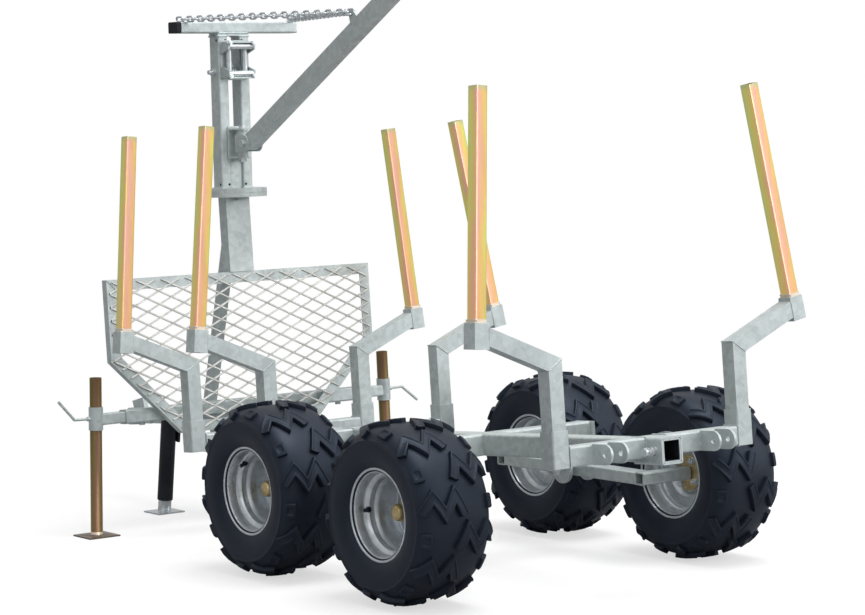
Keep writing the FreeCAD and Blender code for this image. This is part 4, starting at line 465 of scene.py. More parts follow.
# ---------------------------------------------------------------- geometry node trees
class Tree:
    """A geometry node tree with named inputs, which ends in Realize Instances and Set Material."""

    def __init__(self, name, **inputs):
        self.group = bpy.data.node_groups.new(name, "GeometryNodeTree")
        add = self.group.interface.new_socket
        add("Geometry", in_out="INPUT", socket_type="NodeSocketGeometry")
        for label, kind in inputs.items():
            add(label.replace("_", " "), in_out="INPUT", socket_type=f"NodeSocket{kind}")
        add("Material", in_out="INPUT", socket_type="NodeSocketMaterial")
        add("Geometry", in_out="OUTPUT", socket_type="NodeSocketGeometry")
        self.given = self.group.nodes.new("NodeGroupInput").outputs

    def node(self, kind, values=(), **settings):
        return add_node(self.group, kind, values, **settings)

    def maths(self, operation, first, second):
        return math_node(self.group, operation, first, second)

    def odd(self, number):
        return self.maths("MODULO", number, 2)

    def index(self):
        return self.node("GeometryNodeInputIndex").outputs["Index"]

    def random(self, seed, low, high):
        values = {"Seed": seed, 2: low, 3: high}
        return self.node("FunctionNodeRandomValue", values, data_type="FLOAT").outputs[1]

    def copies(self, points, **values):
        """The given piece at each point, and nothing else in the result."""
        values |= {"Points": points, "Instance": self.given["Geometry"]}
        return self.finish(self.node("GeometryNodeInstanceOnPoints", values).outputs["Instances"])

    def finish(self, geometry, smooth=False):
        if smooth:
            shade = self.node("GeometryNodeSetShadeSmooth", {"Geometry": geometry})
            geometry = shade.outputs["Geometry"]
        realize = self.node("GeometryNodeRealizeInstances", {"Geometry": geometry})
        values = {"Geometry": realize.outputs["Geometry"], "Material": self.given["Material"]}
        paint = self.node("GeometryNodeSetMaterial", values)
        self.node("NodeGroupOutput", {"Geometry": paint.outputs["Geometry"]})
        return self.group


def around_axle_tree():
    """Count copies of the given piece, turned evenly about the Y axis."""
    tree = Tree("around_axle", Count="Int", Start="Float")
    count = tree.given["Count"]
    line = tree.node("GeometryNodeMeshLine", {"Offset": (0, 0, 0), "Count": count})
    step = tree.maths("DIVIDE", 2 * math.pi, count)
    turn = tree.maths("ADD", tree.maths("MULTIPLY", tree.index(), step), tree.given["Start"])
    angles = tree.node("ShaderNodeCombineXYZ", {"Y": turn})
    rotation = tree.node("FunctionNodeEulerToRotation", {0: angles.outputs[0]})
    return tree.copies(line.outputs["Mesh"], Rotation=rotation.outputs[0])


def link_chain_tree():
    """Links of the given shape from Start to End, each turned a quarter from the one before."""
    tree = Tree(
        "link_chain", Start="Vector", End="Vector", Links="Int", Quarter="Float", Sway="Float"
    )
    start, end, most = (tree.given[label] for label in ("Start", "End", "Sway"))
    values = {"Count": tree.given["Links"], "Start Location": start, "Offset": end}
    line = tree.node("GeometryNodeMeshLine", values, mode="END_POINTS")
    along = tree.node("ShaderNodeVectorMath", {0: end, 1: start}, operation="SUBTRACT")
    aim = tree.node("FunctionNodeAlignRotationToVector", {"Vector": along.outputs[0]}, axis="Z")
    quarter = tree.maths("MULTIPLY", tree.odd(tree.index()), tree.given["Quarter"])
    sway = tree.random(5, tree.maths("MULTIPLY", most, -1), most)
    twist = tree.node("ShaderNodeCombineXYZ", {"Z": tree.maths("ADD", quarter, sway)})
    turn = tree.node("FunctionNodeEulerToRotation", {0: twist.outputs[0]})
    values = {0: aim.outputs[0], 1: turn.outputs[0]}
    both = tree.node("FunctionNodeRotateRotation", values, rotation_space="LOCAL")
    return tree.copies(line.outputs["Mesh"], Rotation=both.outputs[0])


def at_places_tree():
    """A copy of the given piece at each point of Places, its Z axis along the point's facing."""
    tree = Tree("at_places", Places="Object")
    read = tree.node("GeometryNodeObjectInfo", {"Object": tree.given["Places"]})
    facing, size = (
        tree.node("GeometryNodeInputNamedAttribute", {"Name": name}, data_type=kind)
        for name, kind in (("facing", "FLOAT_VECTOR"), ("size", "FLOAT"))
    )
    values = {"Vector": facing.outputs["Attribute"]}
    aim = tree.node("FunctionNodeAlignRotationToVector", values, axis="Z")
    size = size.outputs["Attribute"]
    return tree.copies(read.outputs["Geometry"], Rotation=aim.outputs[0], Scale=size)


def weld_bead_tree():
    """A rippled bead of weld metal along each given line."""
    tree = Tree("weld_bead", Radius="Float", Pitch="Float", Sides="Int")
    runs = tree.node("GeometryNodeMeshToCurve", {"Mesh": tree.given["Geometry"]})
    values = {"Curve": runs.outputs["Curve"], "Length": tree.given["Pitch"]}
    even = tree.node("GeometryNodeResampleCurve", values, mode="LENGTH")
    dip = tree.maths("MULTIPLY", tree.odd(tree.index()), -0.24)
    scale = tree.maths("ADD", tree.random(11, 0.82, 1.12), dip)
    radius = tree.maths("MULTIPLY", scale, tree.given["Radius"])
    values = {"Curve": even.outputs["Curve"], "Radius": radius}
    width = tree.node("GeometryNodeSetCurveRadius", values)
    values = {"Radius": 1.0, "Resolution": tree.given["Sides"]}
    ring = tree.node("GeometryNodeCurvePrimitiveCircle", values)
    values = {"Curve": width.outputs["Curve"], "Profile Curve": ring.outputs["Curve"]}
    skin = tree.node("GeometryNodeCurveToMesh", {**values, "Fill Caps": True})
    if "Scale" in skin.inputs:
        feed(tree.group, skin, {"Scale": tree.node("GeometryNodeInputRadius").outputs[0]})
    return tree.finish(skin.outputs["Mesh"], smooth=True)


def strand_rows_tree():
    """The given knuckle and its two strands on a staggered grid, as a sheet of expanded metal."""
    tree = Tree("strand_rows", Columns="Int", Rows="Int", Long_Pitch="Float", Row_Pitch="Float")
    columns, rows, pitch = (tree.given[label] for label in ("Columns", "Rows", "Long Pitch"))
    across = tree.maths("MULTIPLY", tree.maths("SUBTRACT", columns, 1), pitch)
    upward = tree.maths("MULTIPLY", tree.maths("SUBTRACT", rows, 1), tree.given["Row Pitch"])
    values = {"Size X": across, "Size Y": upward, "Vertices X": columns, "Vertices Y": rows}
    grid = tree.node("GeometryNodeMeshGrid", values)
    odd = tree.odd(tree.maths("MODULO", tree.index(), rows))
    stagger = tree.maths("MULTIPLY", odd, tree.maths("MULTIPLY", pitch, 0.5))
    shift = tree.node("ShaderNodeCombineXYZ", {"X": stagger})
    values = {"Geometry": grid.outputs["Mesh"], "Offset": shift.outputs[0]}
    return tree.copies(tree.node("GeometryNodeSetPosition", values).outputs["Geometry"])


TREES = {
    "around_axle": around_axle_tree(),
    "link_chain": link_chain_tree(),
    "at_places": at_places_tree(),
    "weld_bead": weld_bead_tree(),
    "strand_rows": strand_rows_tree(),
}


def grown(mesh, tree, slot, **values):
    """The mesh that a tree makes from a starting mesh, baked plain, with its maker removed."""
    maker = in_scene("maker", mesh)
    modifier = maker.modifiers.new("grow", "NODES")
    modifier.node_group = TREES[tree]
    values["Material"] = FINISHES[slot]
    for socket in TREES[tree].interface.items_tree:
        label = socket.name.replace(" ", "_")
        if socket.in_out == "INPUT" and label in values:
            modifier[socket.identifier] = values[label]
    bpy.context.view_layer.update()
    plan = bpy.context.evaluated_depsgraph_get()
    result = bpy.data.meshes.new_from_object(maker.evaluated_get(plan), depsgraph=plan)
    bpy.data.objects.remove(maker)
    return result


# ---------------------------------------------------------------- making pieces
def plain_mesh(name, points, faces=(), edges=()):
    mesh = bpy.data.meshes.new(name)
    mesh.from_pydata([tuple(point) for point in points], list(edges), list(faces))
    mesh.update()
    return mesh


def tidied(mesh, smooth_below=None, weld=1e-5):
    """Doubles merged and faces turned outward; smooth where it bends less than a given angle."""
    shape = bmesh.new()
    shape.from_mesh(mesh)
    bmesh.ops.remove_doubles(shape, verts=shape.verts, dist=weld)
    bmesh.ops.recalc_face_normals(shape, faces=shape.faces)
    shape.to_mesh(mesh)
    shape.free()
    if smooth_below is not None:
        mesh.shade_smooth()
        mesh.set_sharp_from_angle(angle=math.radians(smooth_below))
    return mesh


def joined(meshes, matrices=None):
    """One mesh of several, each first put in its place."""
    whole = bmesh.new()
    for number, mesh in enumerate(meshes):
        start = len(whole.verts)
        whole.from_mesh(mesh)
        if matrices:
            whole.verts.ensure_lookup_table()
            bmesh.ops.transform(whole, matrix=matrices[number], verts=whole.verts[start:])
    result = bpy.data.meshes.new(meshes[0].name)
    whole.to_mesh(result)
    whole.free()
    return result


def bevelled(mesh, width, segments=2, angle=35):
    """Edges sharper than the angle rounded off."""
    shape = bmesh.new()
    shape.from_mesh(mesh)
    sharp = [
        edge for edge in shape.edges
        if len(edge.link_faces) == 2 and edge.calc_face_angle(0) > math.radians(angle)
    ]
    bmesh.ops.bevel(shape, geom=sharp, offset=width, segments=segments, affect="EDGES",
                    profile=0.5, clamp_overlap=True)
    shape.to_mesh(mesh)
    shape.free()
    return mesh


def ring_faces(rows, ring, closed=False, start=0):
    """Faces from each ring of points to the next, and from the last to the first if closed."""
    faces = []
    for row in range(rows if closed else rows - 1):
        here, there = start + row * ring, start + (row + 1) % rows * ring
        for number in range(ring):
            after = (number + 1) % ring
            faces.append((here + number, here + after, there + after, there + number))
    return faces


def revolved(name, outlines, steps):
    """Closed outlines of (along the axle, radius) turned about the Y axis."""
    points, faces = [], []
    for outline in outlines:
        faces += ring_faces(steps, len(outline), closed=True, start=len(points))
        for step in range(steps):
            angle = 2 * math.pi * step / steps
            for along, radius in outline:
                points.append((radius * math.cos(angle), along, radius * math.sin(angle)))
    return plain_mesh(name, points, faces)


def placed(mesh, place, sharp_above):
    """A copy of the mesh in its place, with the edges that bend more than an angle sharp."""
    copy = joined([mesh], [place])
    copy.set_sharp_from_angle(angle=math.radians(sharp_above))
    return copy


def mesh_points(mesh):
    return np.array([tuple(vertex.co) for vertex in mesh.vertices])


def new_piece(name, mesh, body, slot, *replaced, finish=None):
    """A finished mesh rides on its body, in one of the record's finishes.

    A piece given no body is attached to none.
    """
    mesh.name = name
    piece = in_scene(name, mesh)
    mesh.materials.clear()
    mesh.materials.append(FINISHES[finish or slot])
    if body:
        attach(piece, body)
    if replaced:
        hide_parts(*replaced)
    return piece


def dress_nodes():
    """Every CAD node takes the finish of its record slot."""
    slots = {part["node"]: part["material_slot"] for part in frame["record"]["subparts"]}
    for name, node in frame["nodes"].items():
        node.data.materials.clear()
        node.data.materials.append(FINISHES[slots[name]])


def scattered(name, piece, places, body, slot):
    """Copies of a piece at (place, facing) points, as one mesh that rides on a body."""
    points = bpy.data.meshes.new("places")
    points.from_pydata([tuple(place) for place, _ in places], [], [])
    points.attributes.new("facing", "FLOAT_VECTOR", "POINT")
    points.attributes.new("size", "FLOAT", "POINT")
    ways = [part for _, way in places for part in way]
    points.attributes["facing"].data.foreach_set("vector", ways)
    points.attributes["size"].data.foreach_set("value", [1.0] * len(places))
    holder = in_scene("places", points)
    copies = grown(piece.copy(), "at_places", slot, Places=holder)
    bpy.data.objects.remove(holder)
    new_piece(name, copies, body, slot)


# ---------------------------------------------------------------- tyres
CARCASS = [
    (0.096, 0.1275), (0.1055, 0.1285), (0.1085, 0.1330), (0.1100, 0.1400), (0.1130, 0.1440),
    (0.1178, 0.1490), (0.1216, 0.1560), (0.1222, 0.1572), (0.1250, 0.1640), (0.1276, 0.1740),
    (0.1292, 0.1840), (0.1298, 0.1940), (0.1296, 0.2040), (0.1290, 0.2130), (0.1292, 0.2165),
    (0.1300, 0.2185), (0.1296, 0.2215), (0.1262, 0.2245), (0.1222, 0.2325), (0.1150, 0.2410),
    (0.1050, 0.2480), (0.0900, 0.2545), (0.0720, 0.2585), (0.0500, 0.2608), (0.0250, 0.2618),
    (0.0, 0.2621),
]
TREAD_RADIUS = 0.262
PITCHES = 8
TYRE_STEPS = 96


def crown_line():
    """Distance from the crown's centre, place and outward direction along the carcass's outside."""
    run, rows = 0.0, []
    outside = CARCASS[::-1]
    for number, (along, radius) in enumerate(outside):
        if number:
            run += math.dist(outside[number - 1], (along, radius))
        before, after = outside[max(0, number - 1)], outside[min(len(outside) - 1, number + 1)]
        slope = (after[0] - before[0], after[1] - before[1])
        size = math.hypot(*slope)
        rows.append((run, along, radius, -slope[1] / size, slope[0] / size))
    return rows


CROWN = crown_line()


def on_carcass(across, around, height):
    """A place over the carcass: across the crown, round it, and out from its surface."""
    reach = abs(across)
    number = next((n for n, row in enumerate(CROWN) if row[0] >= reach), len(CROWN) - 1)
    low, high = CROWN[max(0, number - 1)], CROWN[number]
    share = 0 if high[0] == low[0] else (reach - low[0]) / (high[0] - low[0])
    row = (a + (b - a) * share for a, b in zip(low[1:], high[1:]))
    along, radius, out_along, out_radius = row
    along, radius = along + out_along * height, radius + out_radius * height
    angle = around / TREAD_RADIUS
    side = math.copysign(along, across)
    return Vector((radius * math.sin(angle), side, radius * math.cos(angle)))


LUG_SECTION = (
    (-0.0150, -0.002), (-0.0136, 0.0118), (-0.0122, 0.0136), (-0.0086, 0.0138), (-0.0070, 0.0112),
    (0.0070, 0.0112), (0.0086, 0.0138), (0.0122, 0.0136), (0.0136, 0.0118), (0.0150, -0.002),
)
LUG_PATH = (
    (0.128, -0.022), (0.092, 0.026), (0.058, -0.030), (0.020, 0.026), (-0.008, -0.034),
)
LUG_CUTS = 4
KNOB_PLACE = (0.113, 0.100)
KNOB_HALF = (0.014, 0.021)


def capped(name, points, ring):
    """Rings of points skinned and closed at both ends."""
    faces = ring_faces(len(points) // ring, ring)
    faces += [tuple(range(ring)), tuple(range(len(points) - ring, len(points)))]
    return plain_mesh(name, points, faces)


KNOB_LEVELS = ((1.12, -0.002), (1.0, 0.0100), (0.62, 0.0100), (0.5, 0.0066))
KNOB_CORNERS = (
    (-1, -1), (0, -1.08), (1, -1), (1.08, 0), (1, 1), (0, 1.08), (-1, 1), (-1.08, 0),
)


def zigzag_lug(side):
    """A raised zigzag with mitred corners and a stepped section, from shoulder past centre."""
    shift = 0 if side > 0 else PITCH / 2
    path = [Vector((side * across, around + shift)) for across, around in LUG_PATH]
    pieces = [(after - before).normalized() for before, after in zip(path, path[1:])]
    mitres = []
    for number in range(len(path)):
        before, after = pieces[max(0, number - 1)], pieces[min(len(pieces) - 1, number)]
        normal = (before + after).normalized().orthogonal()
        mitres.append(normal / max(0.42, normal.dot(after.orthogonal())))
    points = []
    for number in range(len(path) - 1):
        for cut in range(LUG_CUTS + (number == len(path) - 2)):
            for offset, height in LUG_SECTION:
                low = path[number] + mitres[number] * offset
                high = path[number + 1] + mitres[number + 1] * offset
                where = low.lerp(high, cut / LUG_CUTS)
                points.append(on_carcass(where.x, where.y, height))
    return capped("lug", points, len(LUG_SECTION))


def shoulder_knob(side):
    """A block on the shoulder between two lugs, with a hollow in its top."""
    across, around = KNOB_PLACE
    around = around if side > 0 else around - PITCH / 2
    points = []
    for share, height in KNOB_LEVELS:
        for left, ahead in KNOB_CORNERS:
            out = side * (across + left * share * KNOB_HALF[0])
            points.append(on_carcass(out, around + ahead * share * KNOB_HALF[1], height))
    return capped("knob", points, len(KNOB_CORNERS))


PITCH = 2 * math.pi * TREAD_RADIUS / PITCHES


def carcass():
    """The tyre's body: sidewalls with a ridge at the shoulder, the crown, and the hollow inside."""
    outside = CARCASS + [(-along, radius) for along, radius in CARCASS[-2::-1]]
    inside = [(-0.094, 0.150), (-0.112, 0.180), (-0.112, 0.215), (-0.092, 0.240)]
    inside += [(-0.050, 0.250), (0, 0.252)]
    inside += [(-along, radius) for along, radius in inside[-2::-1]]
    return revolved("carcass", [outside + inside], TYRE_STEPS)


def wheel_places():
    for side, sign in SIDES:
        for end, ahead in (("front", 0.35), ("rear", -0.35)):
            turn = Matrix.Rotation(0 if sign > 0 else math.pi, 4, "Z")
            yield end, side, Matrix.Translation(upright(ahead, sign * 0.573, AXLE_HEIGHT)) @ turn


TYRE_TURN = {
    ("front", "left"): 0.26,
    ("rear", "left"): 0.20,
    ("front", "right"): 0.55,
    ("rear", "right"): 0.2,
}


def tyres():
    pitch = joined([zigzag_lug(1), zigzag_lug(-1), shoulder_knob(1), shoulder_knob(-1)])
    pitch = bevelled(tidied(pitch), 0.0009, 1, 30)
    body = tidied(carcass(), 40)
    for end, side, place in wheel_places():
        turn = TYRE_TURN[end, side]
        tread = grown(pitch.copy(), "around_axle", "tyre_rubber", Count=PITCHES, Start=turn)
        tyre = joined([body, tread], [place, place])
        tyre.set_sharp_from_angle(angle=math.radians(28))
        name, wheel = f"tyre_{end}_{side}", f"wheel_{end}_{side}"
        new_piece(f"treaded_{name}", tyre, wheel, "tyre_rubber", name)


# ---------------------------------------------------------------- rims, valves and wheel nuts
RIM_HALF = [
    (0.1080, 0.1410), (0.1097, 0.1404), (0.1109, 0.1388), (0.1112, 0.1366), (0.1106, 0.1346),
    (0.1092, 0.1331), (0.1072, 0.1322), (0.1052, 0.1310), (0.1040, 0.1290), (0.1030, 0.1264),
    (0.1000, 0.1246), (0.0760, 0.1226), (0.0730, 0.1236), (0.0700, 0.1224), (0.0655, 0.1130),
    (0.0610, 0.1096), (0.0450, 0.1088), (0.0430, 0.1098), (0.0405, 0.1086), (0.0340, 0.1040),
    (0.0280, 0.1024),
]
RIM_OUTSIDE = RIM_HALF + [(-along, radius) for along, radius in RIM_HALF[::-1]]
RIM_WALL = 0.0028
RIM_DISC = [
    (-0.0380, 0.1024), (-0.0380, 0.0800), (-0.0365, 0.0770), (-0.0255, 0.0660), (-0.0240, 0.0635),
    (-0.0240, 0.0285), (-0.0270, 0.0285), (-0.0270, 0.0625), (-0.0285, 0.0645), (-0.0395, 0.0755),
    (-0.0410, 0.0790), (-0.0410, 0.1024),
]


VALVE_STEM = [
    (0.0, 0.0001), (0.0, 0.0095), (0.005, 0.0092), (0.009, 0.0068), (0.016, 0.0052),
    (0.0165, 0.0060), (0.025, 0.0060), (0.0265, 0.0052), (0.027, 0.0001),
]


def offset_outline(outline, distance):
    """The same open line, moved sideways by a distance."""
    result = []
    for number, point in enumerate(outline):
        before, after = outline[max(0, number - 1)], outline[min(len(outline) - 1, number + 1)]
        slope = Vector(after) - Vector(before)
        normal = Vector((slope.y, -slope.x)).normalized()
        result.append(tuple(Vector(point) + normal * -distance))
    return result


def rims():
    wall = RIM_OUTSIDE + offset_outline(RIM_OUTSIDE, -RIM_WALL)[::-1]
    rim = tidied(revolved("rim", [wall, RIM_DISC], 112), 32)
    stem = tidied(revolved("valve", [VALVE_STEM], 20), 40)
    seat = Matrix.Translation((0.1140, 0.060, 0)) @ Matrix.Rotation(math.radians(28), 4, "Z")
    for end, side, place in wheel_places():
        body, node = f"wheel_{end}_{side}", f"rim_{end}_{side}"
        new_piece(f"rolled_{node}", placed(rim, place, 32), body, "zinc_rim", node)
        clock = {"front": 0.75, "rear": 0.0}[end] + (0 if side == "left" else 2.0)
        spin = Matrix.Rotation(-clock, 4, "Y")
        valve = placed(stem, place @ spin @ seat, 40)
        new_piece(f"valve_{end}_{side}", valve, body, "tyre_rubber")


# ---------------------------------------------------------------- hubs
HUB_OUTLINE = [
    (-0.0350, 0.0140), (-0.0350, 0.0560), (-0.0340, 0.0575), (-0.0285, 0.0575), (-0.0275, 0.0560),
    (-0.0275, 0.0350), (-0.0240, 0.0310), (0.0150, 0.0300), (0.0175, 0.0285), (0.0185, 0.0250),
    (0.0205, 0.0250), (0.0215, 0.0280), (0.0255, 0.0280), (0.0265, 0.0256), (0.0380, 0.0252),
    (0.0425, 0.0238), (0.0462, 0.0208), (0.0486, 0.0160), (0.0499, 0.0085), (0.0504, 0.0002),
    (0.0440, 0.0002), (0.0400, 0.0140),
]
WHEEL_NUTS = 4
WHEEL_NUT_RADIUS = 0.046


THREAD_PITCH = 0.0022


def hex_piece(name, across, height, shank_radius=0.0, shank_length=0.0):
    """A chamfered hexagon on its washer, and the thread's end above it where it has a shank."""
    shape = bmesh.new()
    corner = across / math.sqrt(3)
    ring = bmesh.ops.create_cone(
        shape, cap_ends=True, segments=6, radius1=corner, radius2=corner, depth=height
    )["verts"]
    bmesh.ops.translate(shape, vec=(0, 0, height / 2 + 0.0012), verts=ring)
    mesh = bpy.data.meshes.new(name)
    shape.to_mesh(mesh)
    shape.free()
    mesh = bevelled(mesh, across * 0.06, 1, 50)
    washer = [(0.0, 0.0001), (0.0, across * 0.62), (0.0010, across * 0.64)]
    washer += [(0.0018, across * 0.62), (0.0018, 0.0001)]
    parts = [mesh, spun_up("washer", washer, 20)]
    if shank_length:
        top = height + shank_length
        thread = [(0.0, 0.0001), (0.0, shank_radius)]
        for number in range(int(shank_length / THREAD_PITCH)):
            at = height + number * THREAD_PITCH
            thread += [(at, shank_radius * 0.86), (at + THREAD_PITCH / 2, shank_radius)]
        thread += [(top, shank_radius * 0.8), (top, 0.0001)]
        parts.append(spun_up("thread", thread, 14))
    return tidied(joined(parts), 30)


def spun_up(name, outline, steps):
    """A closed outline of (height, radius) turned about the Z axis."""
    mesh = revolved(name, [outline], steps)
    mesh.transform(Matrix.Rotation(math.radians(90), 4, "X"))
    return mesh


def clamp_screw():
    """A welded nut, the screw's thread and its head, which is turned by a spanner."""
    nut = hex_piece("nut", 0.024, 0.013, 0.0078, 0.016)
    head = hex_piece("head", 0.024, 0.0105)
    return joined([nut, head], [Matrix.Identity(4), Matrix.Translation((0, 0, 0.0285))])


def hubs_and_nuts():
    hub = tidied(revolved("hub", [HUB_OUTLINE], 48), 32)
    nut = hex_piece("nut", 0.019, 0.011, 0.006, 0.007)
    for end, side, place in wheel_places():
        body, node = f"wheel_{end}_{side}", f"hub_{end}_{side}"
        new_piece(f"capped_{node}", placed(hub, place, 32), body, "yellow_zinc_hub", node)
        spots = []
        for number in range(WHEEL_NUTS):
            angle = math.pi / 4 + number * 2 * math.pi / WHEEL_NUTS + TYRE_TURN[end, side]
            ahead, high = WHEEL_NUT_RADIUS * math.cos(angle), WHEEL_NUT_RADIUS * math.sin(angle)
            for along, way in ((-0.0240, 1), (-0.0350, -1)):
                facing = place.to_3x3() @ Vector((0, way, 0))
                spots.append((place @ Vector((ahead, along, high)), facing))
        scattered(f"wheel_nuts_{end}_{side}", nut, spots, body, "bright_zinc")


# ---------------------------------------------------------------- stakes and legs
def axis_of(points):
    """The two end centres of a long straight piece."""
    middle = points.mean(0)
    spread_out = np.linalg.svd(points - middle, full_matrices=False)[2][0]
    if spread_out[2] < 0:
        spread_out = -spread_out
    along = (points - middle) @ spread_out
    near = max(0.004, 0.02 * (along.max() - along.min()))
    low = points[along < along.min() + near].mean(0)
    high = points[along > along.max() - near].mean(0)
    return Vector(low), Vector(high)


def cad_copy(node):
    """A CAD node's mesh with its loose triangles joined up."""
    shape = bmesh.new()
    shape.from_mesh(frame["nodes"][node].data)
    bmesh.ops.remove_doubles(shape, verts=shape.verts, dist=2e-5)
    mesh = bpy.data.meshes.new(node)
    shape.to_mesh(mesh)
    shape.free()
    mesh.shade_smooth()
    mesh.set_sharp_from_angle(angle=math.radians(25))
    return mesh


STAKE_FOOT = 0.072


def tube_finish(node, body):
    """A chromate tube that knows, at each point, its place across and along the tube."""
    mesh = cad_copy(node)
    points = mesh_points(mesh)
    place = np.zeros_like(points)
    stakes = "stakes" in node
    start = STAKE_FOOT if stakes else 0.0
    on_left = points[:, 1] > 0
    for group in (on_left, ~on_left) if stakes else (points[:, 1] > -9,):
        low, high = axis_of(points[group])
        way = (high - low).normalized()
        ahead = (Vector((1, 0, 0)) - way * way.x).normalized()
        offset = points[group] - np.array(low)
        across = [offset @ np.array(axis) for axis in (ahead, way.cross(ahead), way)]
        place[group] = np.stack([across[0], across[1], across[2] - start], 1)
    stored = mesh.attributes.new("tube_place", "FLOAT_VECTOR", "POINT")
    stored.data.foreach_set("vector", place.astype(np.float32).ravel())
    # the legs take the darker chromate, the stakes the plain one
    finish = "yellow_chromate_tube" if stakes else "aged_chromate_tube"
    new_piece(f"{node}_chromated", mesh, body, "yellow_chromate_tube", node, finish=finish)


def chromate_tubes():
    for bunk in BUNKS:
        tube_finish(f"{bunk}_stakes", "frame")
    for side, _ in SIDES:
        tube_finish(f"outrigger_leg_{side}", f"leg_body_{side}")


# ---------------------------------------------------------------- headboard mesh
BEAM_HALF, BEAM_WALL, BEAM_Z = 0.035, 0.005, 0.390
BEAM_REAR = -0.887
MESH_X = 1.3685
BEAM_TOP = 0.425
MESH_HALF, MESH_TOP, MESH_CHAMFER, MESH_INSET = 0.558, 0.983, 0.270, 0.010
DIAMOND_LONG, DIAMOND_TALL, STRAND = 0.100, 0.047, 0.005


KNUCKLE_LEAN = math.radians(20)
MESH_COLUMNS, MESH_ROWS = 14, 26
DRAWBAR_NOTCH_HALF, DRAWBAR_NOTCH_TOP = 0.032, 0.478


def bar_between(start, end, across, through, half_width, half_depth):
    """Eight corners and six faces of a bar with a tilted section."""
    points = []
    for place in (start, end):
        for left, deep in ((-1, -1), (1, -1), (1, 1), (-1, 1)):
            points.append(place + across * (left * half_width) + through * (deep * half_depth))
    faces = [(0, 3, 2, 1), (4, 5, 6, 7)]
    faces += [(n, (n + 1) % 4, (n + 1) % 4 + 4, n + 4) for n in range(4)]
    return points, faces


def knuckle_and_strands():
    """One crossing of the mesh and its two upward strands, each leaning like a louvre's slat."""
    upright_way, through = Vector((0, 1, 0)), Vector((0, 0, 1))
    bars = []
    for sign in (-1, 1):
        tip = Vector((sign * DIAMOND_LONG / 2, DIAMOND_TALL / 2, 0))
        way = tip.normalized()
        across = Vector((-way.y * sign, way.x * sign, 0))
        if across.y < 0:
            across = -across
        tilted = across * math.cos(KNUCKLE_LEAN) + through * math.sin(KNUCKLE_LEAN)
        start, end = Vector((0, 0, 0)) - way * 0.001, tip + way * 0.001
        bars.append(bar_between(start, end, tilted, way.cross(tilted), 0.0033, 0.0019))
    ends = Vector((-0.0085, 0, 0)), Vector((0.0085, 0, 0))
    bars.append(bar_between(*ends, upright_way, through, 0.0046, 0.0019))
    points, faces = [], []
    for bar, sides in bars:
        faces += [tuple(n + len(points) for n in side) for side in sides]
        points += bar
    mesh = tidied(plain_mesh("knuckle", points, faces), weld=1e-7)
    return bevelled(mesh, 0.0005, 1, 40)


def headboard_mesh():
    """The expanded-metal sheet, cut to the headboard's outline."""
    sheet = grown(
        knuckle_and_strands(), "strand_rows", "galvanised_mesh", Columns=MESH_COLUMNS,
        Rows=MESH_ROWS, Long_Pitch=DIAMOND_LONG, Row_Pitch=DIAMOND_TALL / 2,
    )
    shift = (MESH_COLUMNS - 1) * DIAMOND_LONG / 2 - DIAMOND_LONG * (MESH_COLUMNS // 2)
    middle = Vector((shift, (MESH_ROWS - 1) * DIAMOND_TALL / 4, 0))
    foot = BEAM_TOP + MESH_INSET + STRAND
    stand = Matrix(((0, 0, 1, MESH_X), (-1, 0, 0, 0), (0, 1, 0, foot), (0, 0, 0, 1)))
    sheet.transform(stand @ Matrix.Translation(middle))
    shape = bmesh.new()
    shape.from_mesh(sheet)
    edge, top = MESH_HALF - MESH_INSET, MESH_TOP - MESH_INSET
    waist = BEAM_TOP + MESH_CHAMFER + (math.sqrt(2) - 1) * MESH_INSET
    for place, way in (
        ((0, edge, 0), (0, 1, 0)),
        ((0, -edge, 0), (0, -1, 0)),
        ((0, 0, top), (0, 0, 1)),
        ((0, 0, BEAM_TOP + MESH_INSET), (0, 0, -1)),
        ((0, edge, waist), (0, 1, -1)),
        ((0, -edge, waist), (0, -1, -1)),
    ):
        cut = bmesh.ops.bisect_plane(
            shape, geom=shape.verts[:] + shape.edges[:] + shape.faces[:], dist=1e-6,
            plane_co=place, plane_no=Vector(way).normalized(), clear_outer=True,
        )
        open_edges = [item for item in cut["geom_cut"] if isinstance(item, bmesh.types.BMEdge)]
        bmesh.ops.holes_fill(shape, edges=open_edges, sides=0)
    gap = [
        vertex for vertex in shape.verts
        if abs(vertex.co.y) < DRAWBAR_NOTCH_HALF and vertex.co.z < DRAWBAR_NOTCH_TOP
    ]
    bmesh.ops.delete(shape, geom=gap, context="VERTS")
    open_edges = [edge for edge in shape.edges if edge.is_boundary]
    bmesh.ops.holes_fill(shape, edges=open_edges, sides=0)
    shape.to_mesh(sheet)
    shape.free()
    sheet.transform(LEVEL_TO_STANDING)
    new_piece("expanded_mesh", sheet, "frame", "galvanised_mesh", "headboard_mesh")


# ---------------------------------------------------------------- stay chains
LINK_PITCH, LINK_WIRE, LINK_HALF = 0.0245, 0.0038, 0.0092


def chain_link():
    """A welded link: two straight sides and two round ends, with its length along Z."""
    straight = LINK_PITCH / 2 + LINK_WIRE - LINK_HALF
    line = []
    for end in (1, -1):
        for number in range(7):
            angle = math.pi * number / 6 + (0 if end > 0 else math.pi)
            high = LINK_HALF * math.sin(angle) + end * straight
            line.append(Vector((LINK_HALF * math.cos(angle), 0, high)))
    sides, points, side_way = 8, [], Vector((0, 1, 0))
    for number, place in enumerate(line):
        way = (line[(number + 1) % len(line)] - line[number - 1]).normalized()
        out = side_way.cross(way)
        for step in range(sides):
            angle = 2 * math.pi * step / sides
            offset = out * math.cos(angle) + side_way * math.sin(angle)
            points.append(place + offset * LINK_WIRE)
    faces = ring_faces(len(line), sides, closed=True)
    mesh = tidied(plain_mesh("link", points, faces))
    mesh.shade_smooth()
    return mesh


